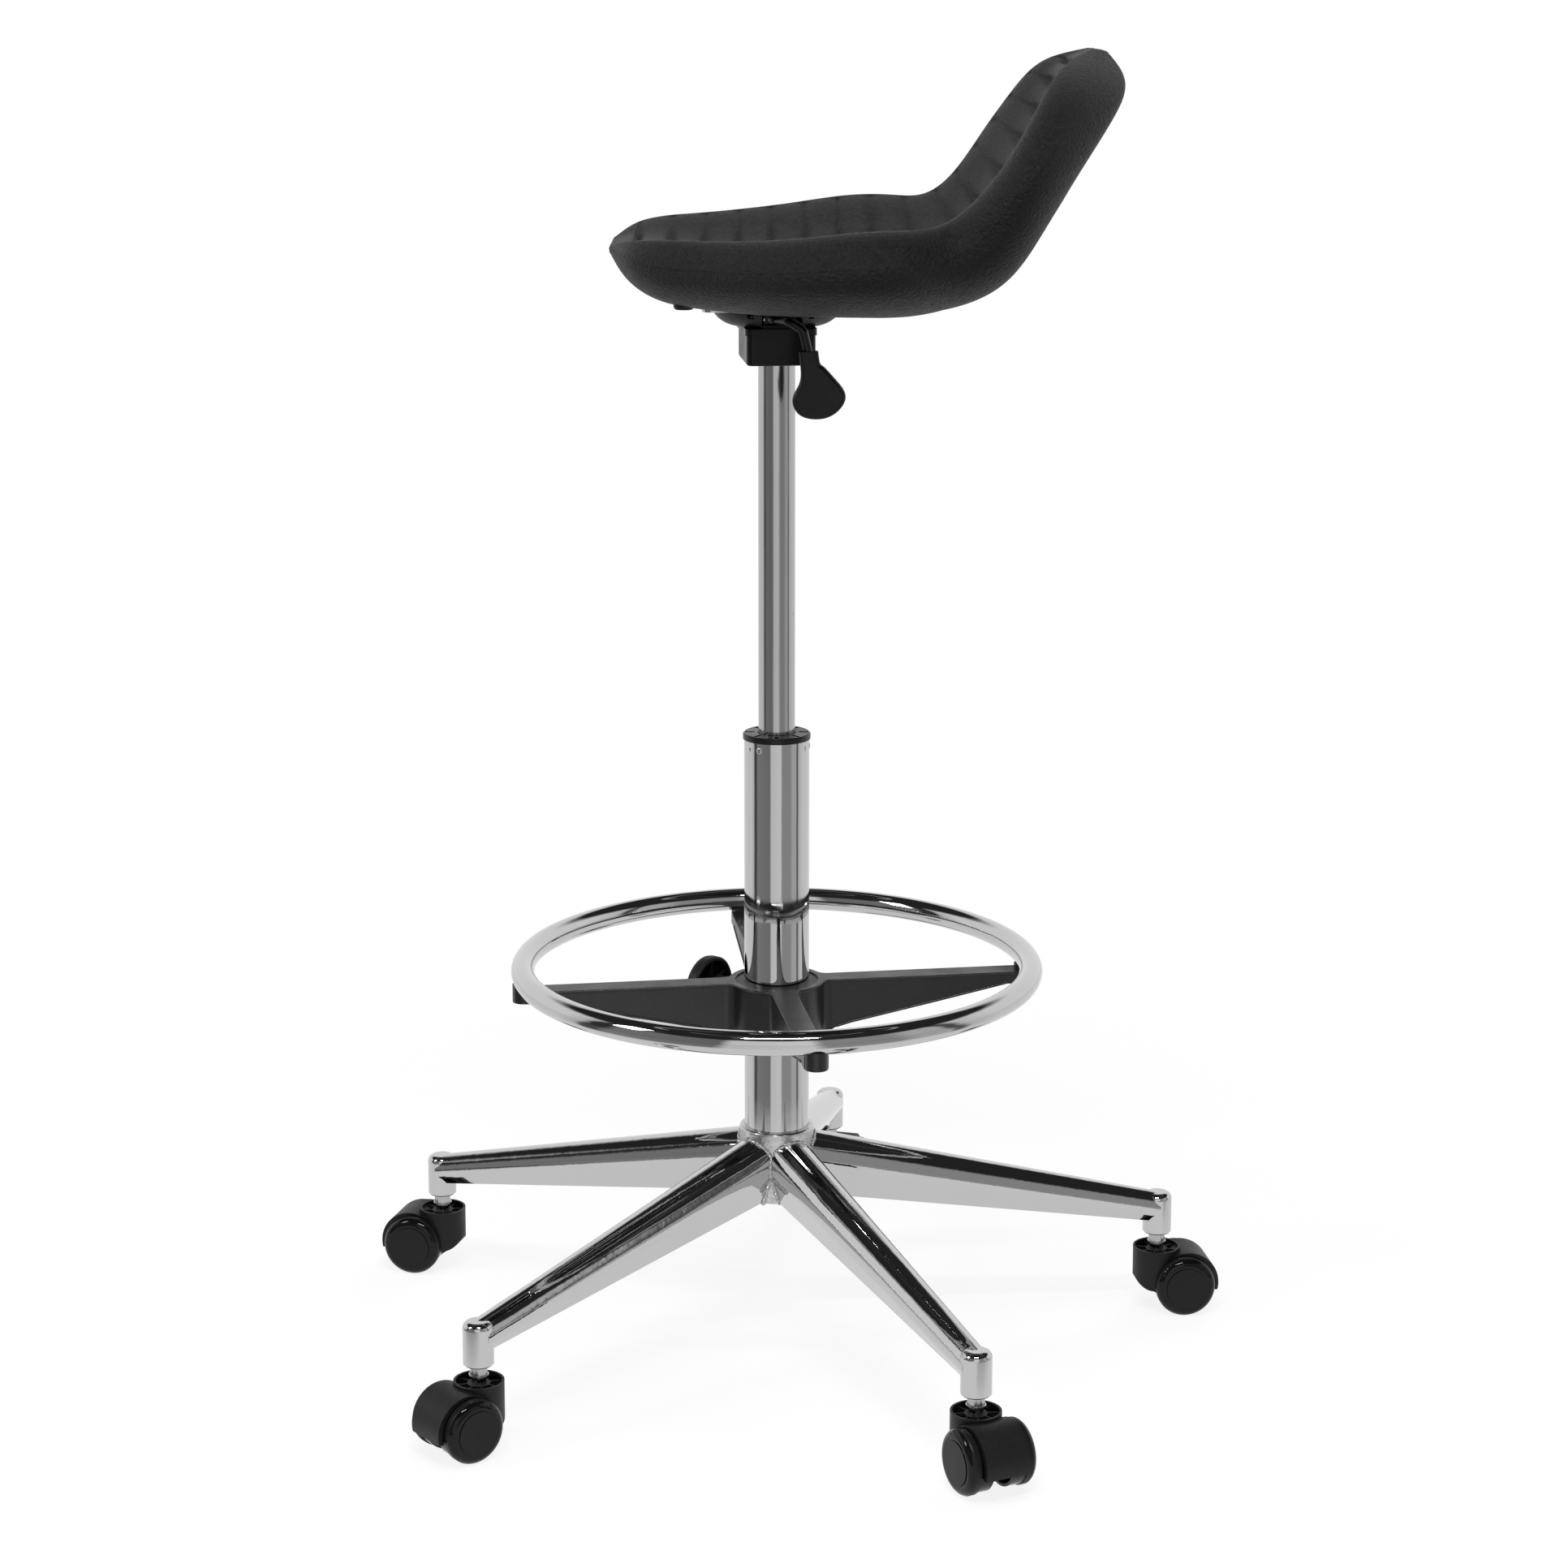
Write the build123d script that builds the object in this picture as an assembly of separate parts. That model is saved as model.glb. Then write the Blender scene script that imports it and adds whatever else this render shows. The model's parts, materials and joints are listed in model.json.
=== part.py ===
from build123d import *
import os
from math import acos, atan2, cos, hypot, radians, sin

# Drafting chair on a chromed five-legged base, with a gas lift and a foot ring.
# Millimetres. The column axis is the Z axis, the floor is z = 0, and the chair faces -Y.

# base
hub_radius = 29.0
hub_bottom = 113.7
hub_top = 170.3
leg_count = 5
leg_first_angle = 27.39
leg_crest = (163.0, 96.0)  # at the hub and at the socket
leg_sole = (115.0, 73.5)
leg_width = (38.0, 23.6)
leg_sheet = 2.0
leg_root_radius = 12.0
seam_width = 6.0
socket_circle = 307.6
socket_radius = 11.4
socket_bottom = 63.0

# casters
stem_radius = 5.5
stem_bottom = 37.0
stem_top = 86.0
stem_collar_radius = 7.4
stem_collar_bottom = 53.6
stem_collar_top = 55.6
wheel_radius = 23.7
wheel_disc_radius = 16.3
wheel_face = 28.0
tread_width = 4.8
drum_radius = 22.7
drum_end = 8.0
wheel_bore_end = 22.0
wheel_hub_radius = 8.0
wheel_wall = 2.0
axle_radius = 4.0
caster_trail = 19.0
cup_radius = 18.6
cup_wall = 1.7
cup_top = 51.0
cup_floor = 43.0
cup_ribs = 8
cup_rib_thickness = 0.9
cup_boss_radius = 8.5
hood_radius = 25.4
hood_centre = (21.6, 23.9)
hood_bottom = 18.0
hood_half_width = 17.3
chin_height = 28.0
drum_room = 0.9
side_gap = 0.7
web_half_width = 5.0
caster_headings = [26.6, 97.8, 165.0, 254.7, 308.5]

# column and gas spring
tube_radius = 25.0
tube_wall = 2.0
tube_bottom = 115.0
tube_floor = (118.0, 121.0)
tube_top = 477.9
tube_taper = 0.5
bush_top = 482.5
bush_flange_radius = 25.9
bush_bottom = 403.0
cylinder_radius = 14.0
cylinder_bore = 11.0
cylinder_bottom = 401.0
cylinder_shoulder = 767.0
cylinder_top = 792.5
cylinder_tip_radius = 13.3
gland_length = 12.0
rod_radius = 5.0
rod_bottom = 115.5
piston_top = 427.0
pin_radius = 4.0
pin_top = 799.3
running_gap = 0.05

# bracket, lever and dish under the seat
box_bottom = 767.8
box_top = 795.3
box_depth = 70.0
box_width = 51.6
box_sheet = 2.5
bracket_turn = 6.0
neck_depth = 40.0
neck_width = 30.0
plate_bottom = 807.5
plate_top = 810.5
plate_radius = 46.0
bolt_places = [(22, 24), (22, -24), (-22, 24), (-22, -24)]
bolt_radius = 4.0
lever_height = 803.2
lever_radius = 3.5
lever_pivot_x = 38.0
lever_pin_radius = 2.0
handle_thickness = 12.0
handle_x = 62.0
insert_size = (124.0, 110.0)
insert_top = 814.5
dish_flat = 30.0
dish_radius = 50.0
dish_sheet = 2.0
dish_hole_angles = [-24, 33]
seat_land = 810.8
back_start = 120.0  # from here to back_full the outer corners get squarer
back_full = 200.0

# foot ring
ring_radius = 196.0
ring_tube = 9.0
ring_wall = 1.5
ring_height = 297.2
spider_first_angle = 8.4
spider_bottom = 241.0
spider_top = 287.0
spider_hub_radius = 36.5
spider_arm_width = 18.0
pad_radius = 8.6
pad_bottom = 277.5
guide_radius = 32.0
guide_gap = 0.08
clamp_angle = 233.4
clamp_height = 268.0
boss_end = 58.0
pad_back = 28.8
stud_radius = 4.0
knob_radius = 25.0
knob_face = 61.5
knob_back = 73.5

on_floor = (Align.CENTER, Align.CENTER, Align.MIN)


# Solid of revolution about Z of an outline of (radius, height) points.
def spun(points):
    return revolve(Plane.XZ * make_face(Polyline(*points, close=True)), axis=Axis.Z)


# Upright cylinder between two heights.
def post(radius, bottom, top, x=0, y=0):
    return Pos(x, y, bottom) * Cylinder(radius, top - bottom, align=on_floor)


# Cylinder along Y between two Y values.
def across(radius, start, end, x, z):
    return Pos(x, start, z) * Rot(-90, 0, 0) * Cylinder(radius, end - start, align=on_floor)


# Cylinder along X between two X values.
def outward(radius, start, end, z, y=0):
    return Pos(start, y, z) * Rot(0, 90, 0) * Cylinder(radius, end - start, align=on_floor)


# Upright block by its sides.
def block(x_size, y_size, bottom, top, x=0, y=0):
    return Pos(x, y, bottom) * Box(x_size, y_size, top - bottom, align=on_floor)


# ---- base ----

# Value along a leg, which changes evenly from the hub to the socket.
def along_leg(radius, ends):
    share = (radius - hub_radius) / (socket_circle - hub_radius)
    return ends[0] + (ends[1] - ends[0]) * share


# Leg section: a round crest, and sides that lean in, tangent to it, to a narrow flat sole.
def leg_section(radius, inset):
    half = along_leg(radius, leg_width) / 2 - inset
    foot = 0.62 * half
    centre = along_leg(radius, leg_crest) - inset - half
    sole = along_leg(radius, leg_sole) + inset
    swing = atan2(sole - centre, foot) + acos(half / hypot(foot, sole - centre))
    right = (half * cos(swing), centre + half * sin(swing))
    left = (-right[0], right[1])
    outline = Line((-foot, sole), (foot, sole)) + Line((foot, sole), right)
    outline += ThreePointArc(right, (0, centre + half), left)
    outline += Line(left, (-foot, sole))
    return Plane(origin=(radius, 0, 0), x_dir=(0, 1, 0), z_dir=(1, 0, 0)) * make_face(outline)


# One pressed leg with a seam along its sole, mitred to its neighbours, and its welded socket.
def base_leg():
    stations = [leg_root_radius, socket_circle / 2, socket_circle]
    outside = loft([leg_section(radius, 0) for radius in stations])
    inside = loft([leg_section(radius, leg_sheet) for radius in stations])
    seam = Pos(socket_circle / 2, 0, 98) * Rot(0, 8, 0) * Box(socket_circle - 70, seam_width, 12)
    half_sector = radians(180 / leg_count)
    corner = (400 * cos(half_sector), 400 * sin(half_sector))
    sector = extrude(make_face(Polyline((0, 0), corner, (corner[0], -corner[1]), close=True)), 400)
    leg = (outside - inside) & sector
    leg -= post(hub_radius, 0, 400)
    leg -= seam
    socket = post(socket_radius, socket_bottom, leg_crest[1])
    socket = fillet(socket.edges().sort_by(Axis.Z)[-1], 5)
    socket = chamfer(socket.edges().sort_by(Axis.Z)[0], 1)
    leg += Pos(socket_circle, 0, 0) * socket
    return leg - post(stem_radius, socket_bottom - 5, stem_top, socket_circle)


# Hub ring, its bore tapered to grip the column, its outer lips rounded.
def base_hub():
    low = tube_radius - tube_taper
    hub = spun([(low, hub_bottom), (hub_radius, hub_bottom), (hub_radius, hub_top), (tube_radius, hub_top)])
    rims = hub.edges().filter_by(GeomType.CIRCLE).filter_by(lambda edge: edge.radius > hub_radius - 1)
    return fillet(rims, 2)


# Caster stem: pressed into the socket above its collar, and turning in the hood below it.
def caster_stem():
    neck = stem_radius + 0.9
    return spun([
        (0, stem_bottom), (stem_radius, stem_bottom), (stem_radius, stem_collar_bottom),
        (stem_collar_radius, stem_collar_bottom), (stem_collar_radius, stem_collar_top),
        (neck, stem_collar_top), (neck, socket_bottom), (stem_radius, socket_bottom),
        (stem_radius, stem_top), (0, stem_top),
    ])


# ---- casters, each with its stem on Z and trailing along +X ----

# Moulded hood: a ribbed cup round the stem, a shroud over both drums, a web for the axle.
def caster_hood():
    centre_x, centre_z = hood_centre
    body = across(hood_radius, -hood_half_width, hood_half_width, centre_x, centre_z)
    body += post(cup_radius, hood_bottom, cup_top)
    body -= block(160, 80, -20, hood_bottom, caster_trail)
    chin = Line((-30, chin_height), (-cup_radius, chin_height))
    chin += ThreePointArc((-cup_radius, chin_height), (-14.5, 22), (-6, 19))
    chin += Polyline((-6, 19), (-4, hood_bottom), (-4, 0), (-30, 0), (-30, chin_height))
    body -= extrude(Plane.XZ * make_face(chin), 30, both=True)
    cup_room = post(cup_radius - cup_wall, cup_floor, cup_floor + 20)
    body -= cup_room - across(hood_radius, -30, 30, centre_x, centre_z)
    body += post(cup_boss_radius, cup_floor - 1, cup_top - 2)
    rib_start = cup_boss_radius - 1
    rib_length = cup_radius - cup_wall / 2 - rib_start
    rib = block(rib_length, cup_rib_thickness, cup_floor - 1, cup_top - 2, rib_start + rib_length / 2)
    for turn in range(cup_ribs):
        body += Rot(0, 0, (turn + 0.5) * 360 / cup_ribs) * rib
    room = drum_radius + drum_room
    for side in (-1, 1):
        start, end = sorted((side * web_half_width, side * 40))
        body -= across(room, start, end, caster_trail, wheel_radius)
    body -= post(stem_radius + running_gap, stem_bottom - 0.5, cup_top)
    return body - across(axle_radius, -web_half_width - 1, web_half_width + 1, caster_trail, wheel_radius)


# Steel axle, pressed through the web of the hood.
def caster_axle():
    axle = across(axle_radius, -wheel_bore_end + 1, wheel_bore_end - 1, 0, 0)
    return chamfer(axle.edges().filter_by(GeomType.CIRCLE), 0.6)


# Wheel, open towards the web: hub, drum inside the hood, soft tread outside it, domed face and disc.
def caster_wheel():
    bore = axle_radius + running_gap
    hub_end = web_half_width + 0.4
    wall = drum_radius - wheel_wall
    tread_start = hood_half_width + side_gap
    tread_end = tread_start + tread_width
    inside = wheel_face - 6
    outline = Polyline(
        (wheel_radius, tread_end), (wheel_radius, tread_start + 0.8), (wheel_radius - 0.8, tread_start),
        (drum_radius, tread_start), (drum_radius, drum_end), (wall, drum_end), (wall, inside),
        (wheel_hub_radius, inside), (wheel_hub_radius, hub_end), (bore, hub_end),
        (bore, wheel_bore_end), (0, wheel_bore_end),
        (0, wheel_face), (wheel_disc_radius, wheel_face), (wheel_disc_radius, wheel_face - 0.7),
    )
    dome = ThreePointArc(
        (wheel_disc_radius, wheel_face - 0.7), (wheel_radius - 2.2, wheel_face - 1.9),
        (wheel_radius, tread_end),
    )
    return revolve(make_face(outline + dome), axis=Axis.Y)


# ---- column and gas spring ----

# Outer column tube: taper at the foot, a floor plate with the rod's hole, a clean top edge.
def column_tube():
    low = tube_radius - tube_taper * (hub_top - tube_bottom) / (hub_top - hub_bottom)
    inner = tube_radius - tube_wall
    floor_low, floor_high = tube_floor
    hole = rod_radius + running_gap
    tube = spun([
        (low, tube_bottom), (tube_radius, hub_top), (tube_radius, tube_top), (inner, tube_top),
        (inner, floor_high), (hole, floor_high), (hole, floor_low), (inner - 1, floor_low),
        (inner - 1, tube_bottom),
    ])
    return tube


# Plastic guide bush: slotted flange on the tube and a long sleeve round the cylinder.
def column_bush():
    inner = tube_radius - tube_wall
    bore = cylinder_radius + running_gap
    bush = spun([
        (bore, bush_bottom), (inner - 2, bush_bottom), (inner, bush_bottom + 4), (inner, tube_top),
        (bush_flange_radius, tube_top), (bush_flange_radius, bush_top - 1),
        (bush_flange_radius - 1, bush_top), (bore + 1, bush_top), (bore, bush_top - 1),
    ])
    slot = block(7, 3, bush_top - 2, bush_top + 1, 20.5)
    for turn in range(8):
        bush -= Rot(0, 0, 45 * turn) * slot
    return bush


# Steel washers and ball cage that carry the rod on the tube's floor.
def thrust_bearing():
    low = tube_floor[1]
    bore = rod_radius
    washers = [tube_ring(12, bore, low, low + 2), tube_ring(12, bore, low + 6, low + 8)]
    cage = tube_ring(11, bore + 0.5, low + 2, low + 6)
    return Compound(children=[washers[0], cage, washers[1]])


# Short tube about Z.
def tube_ring(outer, inner, bottom, top):
    return spun([(inner, bottom), (outer, bottom), (outer, top), (inner, top)])


# Piston rod, grooved at the foot for its clip.
def piston_rod():
    groove = tube_floor[0] - 1.7
    return spun([
        (0, rod_bottom), (rod_radius - 0.6, rod_bottom), (rod_radius, rod_bottom + 0.6),
        (rod_radius, groove), (rod_radius - 1, groove), (rod_radius - 1, groove + 1.5),
        (rod_radius, groove + 1.5), (rod_radius, piston_top - 14), (rod_radius - 1, piston_top - 14),
        (rod_radius - 1, piston_top), (0, piston_top),
    ])


# Split clip in the rod's groove, under the floor of the tube.
def rod_clip():
    groove = tube_floor[0] - 1.7
    ring = tube_ring(rod_radius + 4, rod_radius - 1, groove, groove + 1.5)
    return ring - block(12, 4, groove - 1, groove + 3, 6)


# Piston with a seal groove, on the neck of the rod.
def gas_piston():
    outer = cylinder_bore - running_gap
    low = piston_top - 14
    return spun([
        (rod_radius - 1, low), (outer, low), (outer, low + 5), (outer - 1.5, low + 5),
        (outer - 1.5, low + 8), (outer, low + 8), (outer, low + 12), (rod_radius - 1, low + 12),
    ])


# Gas cylinder: ground outside, cone at the top for the bracket, head with the pin's hole.
def gas_cylinder():
    head = cylinder_top - 22
    hole = pin_radius + running_gap
    return spun([
        (cylinder_bore, cylinder_bottom), (cylinder_radius, cylinder_bottom),
        (cylinder_radius, cylinder_shoulder), (cylinder_tip_radius, cylinder_top), (hole, cylinder_top),
        (hole, head), (cylinder_bore, head),
    ])


# Gland that closes the cylinder's foot round the rod.
def cylinder_gland():
    bore = rod_radius + running_gap
    return tube_ring(cylinder_bore, bore, cylinder_bottom, cylinder_bottom + gland_length)


# Release pin, with a foot that stops it in the head of the cylinder.
def release_pin():
    foot = cylinder_top - 26
    return spun([
        (0, foot), (pin_radius + 2, foot), (pin_radius + 2, foot + 3.5), (pin_radius, foot + 3.5),
        (pin_radius, pin_top - 1), (pin_radius - 1, pin_top), (0, pin_top),
    ])


# ---- bracket, dish and lever under the seat ----

# Radius of the cylinder's upper cone at a height.
def cone_radius(height):
    share = (height - cylinder_shoulder) / (cylinder_top - cylinder_shoulder)
    return cylinder_radius + (cylinder_tip_radius - cylinder_radius) * share


# Cone-bored socket, welded in the bracket, that takes the top of the cylinder.
def taper_socket():
    outer = cylinder_radius + 3.5
    low = box_bottom
    high = cylinder_top - 1
    return spun([(cone_radius(low), low), (outer, low), (outer, high), (cone_radius(high), high)])


# Pressed box round the taper socket, open at the top.
def seat_bracket():
    lid_seam = box_top - box_sheet
    box = block(box_depth, box_width, box_bottom, lid_seam)
    box = fillet(box.edges().filter_by(Axis.Z), 5)
    box = fillet(box.faces().sort_by(Axis.Z)[0].edges(), 2)
    room = block(box_depth - 2 * box_sheet, box_width - 2 * box_sheet, box_bottom + box_sheet, box_top)
    room = fillet(room.edges().filter_by(Axis.Z), 2.5)
    box -= room + post(cylinder_radius + 3.5, box_bottom - 1, box_top)
    return Rot(0, 0, bracket_turn) * box


# Lid of the bracket, with the open neck over it, the plate under the seat and the lever's lugs.
def seat_mount():
    lid = block(box_depth + 2, box_width + 2, box_top - 5, box_top)
    lid = fillet(lid.edges().filter_by(Axis.Z), 6)
    under = block(box_depth, box_width, box_top - 6, box_top - box_sheet)
    lid = Rot(0, 0, bracket_turn) * (lid - fillet(under.edges().filter_by(Axis.Z), 5))
    neck = block(neck_depth, neck_width, box_top, plate_bottom)
    neck -= block(neck_depth - 2 * box_sheet, neck_width - 2 * box_sheet, box_top, plate_bottom)
    neck -= block(20, 14, box_top + 2, plate_bottom, neck_depth / 2)
    plate = post(plate_radius, plate_bottom, plate_top)
    mount = lid + neck + plate
    for side in (-1, 1):
        mount += block(9, 3, lever_height - 3, plate_bottom, lever_pivot_x, side * 7.3)
    mount -= across(lever_pin_radius, -10, 10, lever_pivot_x, lever_height)
    mount -= post(10, box_top - 10, box_top + 1)
    for x, y in bolt_places:
        mount -= post(bolt_radius, plate_bottom - 1, plate_top + 1, x, y)
    return mount


# Hexagon bolts up through the plate into the seat's insert.
def seat_bolt():
    head = extrude(RegularPolygon(7.2, 6), 5)
    return Pos(0, 0, plate_bottom - 5) * head + post(bolt_radius, plate_bottom - 1, insert_top - 0.5)


# Steel insert moulded into the seat's underside.
def seat_insert():
    insert = block(insert_size[0], insert_size[1], plate_top, insert_top)
    insert = fillet(insert.edges().filter_by(Axis.Z), 8)
    for x, y in bolt_places:
        insert -= post(bolt_radius, plate_top - 1, insert_top + 1, x, y)
    return insert


# Shallow pressed bowl that hides the neck, with a slot for the lever and two square holes.
def dish_cover():
    rise = box_top + dish_sheet
    rim = seat_land - 0.3
    outer = ThreePointArc((dish_flat, box_top), (dish_flat + 13, box_top + 4.6), (dish_radius, rim))
    shift = dish_sheet * 0.8
    inner_middle = (dish_flat + 13 - shift, box_top + 4.6 + shift)
    inner = ThreePointArc((dish_radius - dish_sheet, rim), inner_middle, (dish_flat - 1, rise))
    outline = Line((0, box_top), (dish_flat, box_top)) + outer
    outline += Line((dish_radius, rim), (dish_radius - dish_sheet, rim)) + inner
    outline += Line((dish_flat - 1, rise), (0, rise)) + Line((0, rise), (0, box_top))
    dish = revolve(Plane.XZ * make_face(outline), axis=Axis.Z)
    dish -= block(neck_depth, neck_width, box_top - 1, rise + 1)
    dish -= block(30, 30, box_top - 1, seat_land, 46, 4)
    for angle in dish_hole_angles:
        dish -= Rot(0, 0, angle) * block(20, 5, rim - 7, rim - 2, dish_radius)
    return dish


# Bent rod of the height lever, with the cross sleeve that it pivots on.
def lever_rod():
    corners = [
        (-5, 0, lever_height), (46, 0, lever_height), (61, 9, lever_height + 0.8),
        (handle_x + 0.5, 19, 798), (handle_x, 22.5, 783), (handle_x, 24, 770),
    ]
    path = FilletPolyline(*corners, radius=6)
    rod = sweep(Plane(origin=corners[0], z_dir=(1, 0, 0)) * Circle(lever_radius), path=path)
    rod += across(3.9, -5.5, 5.5, lever_pivot_x, lever_height)
    return rod - across(lever_pin_radius + running_gap, -10, 10, lever_pivot_x, lever_height)


# Pivot pin of the lever, held in the lugs.
def lever_pivot():
    return across(lever_pin_radius, -9.5, 9.5, lever_pivot_x, lever_height)


# Flat pear-shaped paddle grip on the lever's end.
def lever_handle():
    edge = [
        (16, 782), (17.5, 768), (16.5, 758), (11.5, 746.5), (16, 736), (27, 732.2),
        (42, 735.8), (50.6, 748.6), (43, 761.5), (34, 771), (30.5, 782),
    ]
    curve = Spline(*edge, tangents=[(0.1, -1), (-0.1, 1)])
    face = make_face(curve + Line(edge[-1], edge[0]))
    flat = Plane(origin=(handle_x, 0, 0), x_dir=(0, 1, 0), z_dir=(1, 0, 0))
    handle = extrude(flat * face, handle_thickness / 2, both=True)
    handle = fillet(handle.edges().filter_by(lambda edge: edge.length > 40), 3)
    return handle - lever_rod()


# ---- foot ring ----

# Four-armed plastic spider: arms that deepen into the hub, saddles for the ring, clamp boss.
def footring_spider():
    plan = Circle(spider_hub_radius)
    for turn in range(4):
        arm = Pos(ring_radius / 2, 0) * Rectangle(ring_radius, spider_arm_width)
        plan += Rot(0, 0, 90 * turn) * arm
    roots = plan.vertices().filter_by(lambda v: hypot(v.X, v.Y) < spider_hub_radius + 2)
    plan = fillet(roots, 9)
    for turn in range(4):
        plan += Rot(0, 0, 90 * turn) * Pos(ring_radius, 0) * Circle(pad_radius)
    body = extrude(Pos(0, 0, spider_bottom) * plan, spider_top - spider_bottom)
    under = Line((0, spider_bottom), (spider_hub_radius, spider_bottom))
    under += ThreePointArc((spider_hub_radius, spider_bottom), (43, 247), (57, 251.5))
    under += Polyline((57, 251.5), (180, pad_bottom), (210, pad_bottom), (210, spider_top), (0, spider_top))
    under += Line((0, spider_top), (0, spider_bottom))
    body = body & revolve(Plane.XZ * make_face(under), axis=Axis.Z)
    for turn in range(4):
        body += Rot(0, 0, 90 * turn) * post(pad_radius, spider_top - 1, ring_height - 6, ring_radius)
    body -= ring_body(ring_tube)
    for turn in range(4):
        body -= Rot(0, 0, 90 * turn) * ring_stud()
    turn_to_clamp = clamp_angle - spider_first_angle
    body += Rot(0, 0, turn_to_clamp) * outward(11, spider_hub_radius - 4, boss_end, clamp_height)
    body -= post(guide_radius + guide_gap, spider_bottom - 1, clamp_height - 5.5)
    body -= post(guide_radius + guide_gap, clamp_height + 5.5, spider_top + 1)
    body -= post(guide_radius - 3.5, spider_bottom, spider_top)
    body -= Rot(0, 0, turn_to_clamp) * outward(5.1, 20, guide_radius, clamp_height)
    body -= Rot(0, 0, turn_to_clamp) * outward(stud_radius + running_gap, 20, boss_end + 5, clamp_height)
    return Rot(0, 0, spider_first_angle) * body


# The ring's whole round section, swept about the column.
def ring_body(radius):
    return revolve(Plane.XZ * Pos(ring_radius, ring_height) * Circle(radius), axis=Axis.Z)


# Stud welded under the ring, down through the end of an arm, with its countersunk nut.
def ring_stud():
    nut = Pos(ring_radius, 0, pad_bottom) * Cone(4.6, 2.5, 2.4, align=on_floor)
    shank = post(2.5, pad_bottom + 1, ring_height - ring_tube + 1, ring_radius)
    return nut + (shank - ring_body(ring_tube))


# Hollow ring of chromed tube.
def foot_ring():
    section = Pos(ring_radius, ring_height) * (Circle(ring_tube) - Circle(ring_tube - ring_wall))
    return revolve(Plane.XZ * section, axis=Axis.Z)


# Upper and lower guide rings that slide on the column inside the spider.
def guide_rings():
    bore = tube_radius + guide_gap
    lower = tube_ring(guide_radius, bore, spider_bottom + 1, clamp_height - 5.5)
    upper = tube_ring(guide_radius, bore, clamp_height + 5.5, spider_top - 1)
    return Compound(children=[lower, upper])


# Pressure pad that the stud pushes against the column.
def clamp_pad():
    return Rot(0, 0, clamp_angle) * outward(5, tube_radius + 0.3, pad_back, clamp_height)


# Threaded stud of the clamp.
def clamp_stud():
    return Rot(0, 0, clamp_angle) * outward(stud_radius, pad_back + 0.1, knob_face + 6, clamp_height)


# Hand wheel: ribbed and recessed on the inner side, domed on the outer side.
def clamp_knob():
    depth = knob_back - knob_face
    outline = [
        (0, depth), (14, depth), (22, depth - 1.2), (24.4, depth - 3), (knob_radius, depth - 5.5),
        (knob_radius, 1.2), (23.8, 0), (22, 0), (21.2, depth - 4), (9, depth - 4), (8, -2), (0, -2),
    ]
    knob = spun(outline)
    rib = block(13.5, 1.4, 2, depth - 3.5, 15)
    for turn in range(6):
        knob += Rot(0, 0, 60 * turn) * rib
    knob -= post(stud_radius, -3, 6)
    return Rot(0, 0, clamp_angle) * Pos(knob_face, 0, clamp_height) * Rot(0, 90, 0) * knob


# ---- seat ----

# Sections of the bucket seat from the front lip to the top of the back: the outer and the bolster
# points in the side view (y, z), the half width, and the depth of the dish between the bolsters.
seat_sections = [
    ((-125.5, 849), (-122.5, 859), 60, 1),
    ((-116, 836), (-115, 863), 98, 4),
    ((-96, 822.5), (-98, 865), 122, 9),
    ((-70, 815.5), (-71, 867), 144, 16),
    ((-25, 812), (-25, 870), 178, 24),
    ((20, 811), (18, 872), 201, 30),
    ((62, 810.8), (60, 876.5), 211, 33),
    ((102, 811.5), (95, 878.5), 198, 32),
    ((134, 818.5), (116, 878), 172, 28),
    ((160, 833.5), (134, 888), 168, 25),
    ((179, 859.5), (150, 906), 182, 25),
    ((202, 901.5), (168, 933), 190, 24),
    ((225.5, 933), (182, 956), 168, 20),
    ((244, 956), (195, 977), 138, 13),
    ((255, 975), (205.5, 988.5), 100, 6),
    ((257, 988), (214, 995.5), 62, 2),
    ((249, 996.5), (224, 999.5), 30, 0.5),
]


# Closed section across the seat: outer skin, full sides, bolster crests and the dished middle.
def seat_section(outer, crest, half, dish):
    rise = Vector(0, crest[0] - outer[0], crest[1] - outer[1])
    thick = rise.length
    plane = Plane(origin=(0, outer[0], outer[1]), x_dir=(1, 0, 0), z_dir=Vector(1, 0, 0).cross(rise))
    back_share = min(max((outer[0] - back_start) / (back_full - back_start), 0), 1)
    corner = 0.26 - 0.12 * back_share
    right = [
        (0.55 * half, 0.04 * (1 - back_share) * thick), (0.9 * half, corner * thick), (half, 0.6 * thick),
        (0.88 * half, thick), (0.66 * half, thick - 0.55 * dish), (0.36 * half, thick - 0.95 * dish),
    ]
    low = (0, 0)
    high = (0, thick - dish)
    left = [(-x, y) for x, y in reversed(right)]
    right_side = Spline(low, *right, high, tangents=[(1, 0), (-1, 0)])
    left_side = Spline(high, *left, low, tangents=[(-1, 0), (1, 0)])
    return plane * Wire([right_side, left_side])


# One-piece bucket seat, with the flat land and the pocket for its insert underneath.
def seat_cushion():
    body = Solid.make_loft([seat_section(*station) for station in seat_sections])
    body -= post(dish_radius + 2.5, 700, seat_land)
    gap = 0.3
    pocket = block(insert_size[0] + 2 * gap, insert_size[1] + 2 * gap, 700, insert_top + gap)
    return body - pocket


# ---- placing and writing ----

leg_angles = [leg_first_angle + 360 / leg_count * index for index in range(leg_count)]

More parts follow.
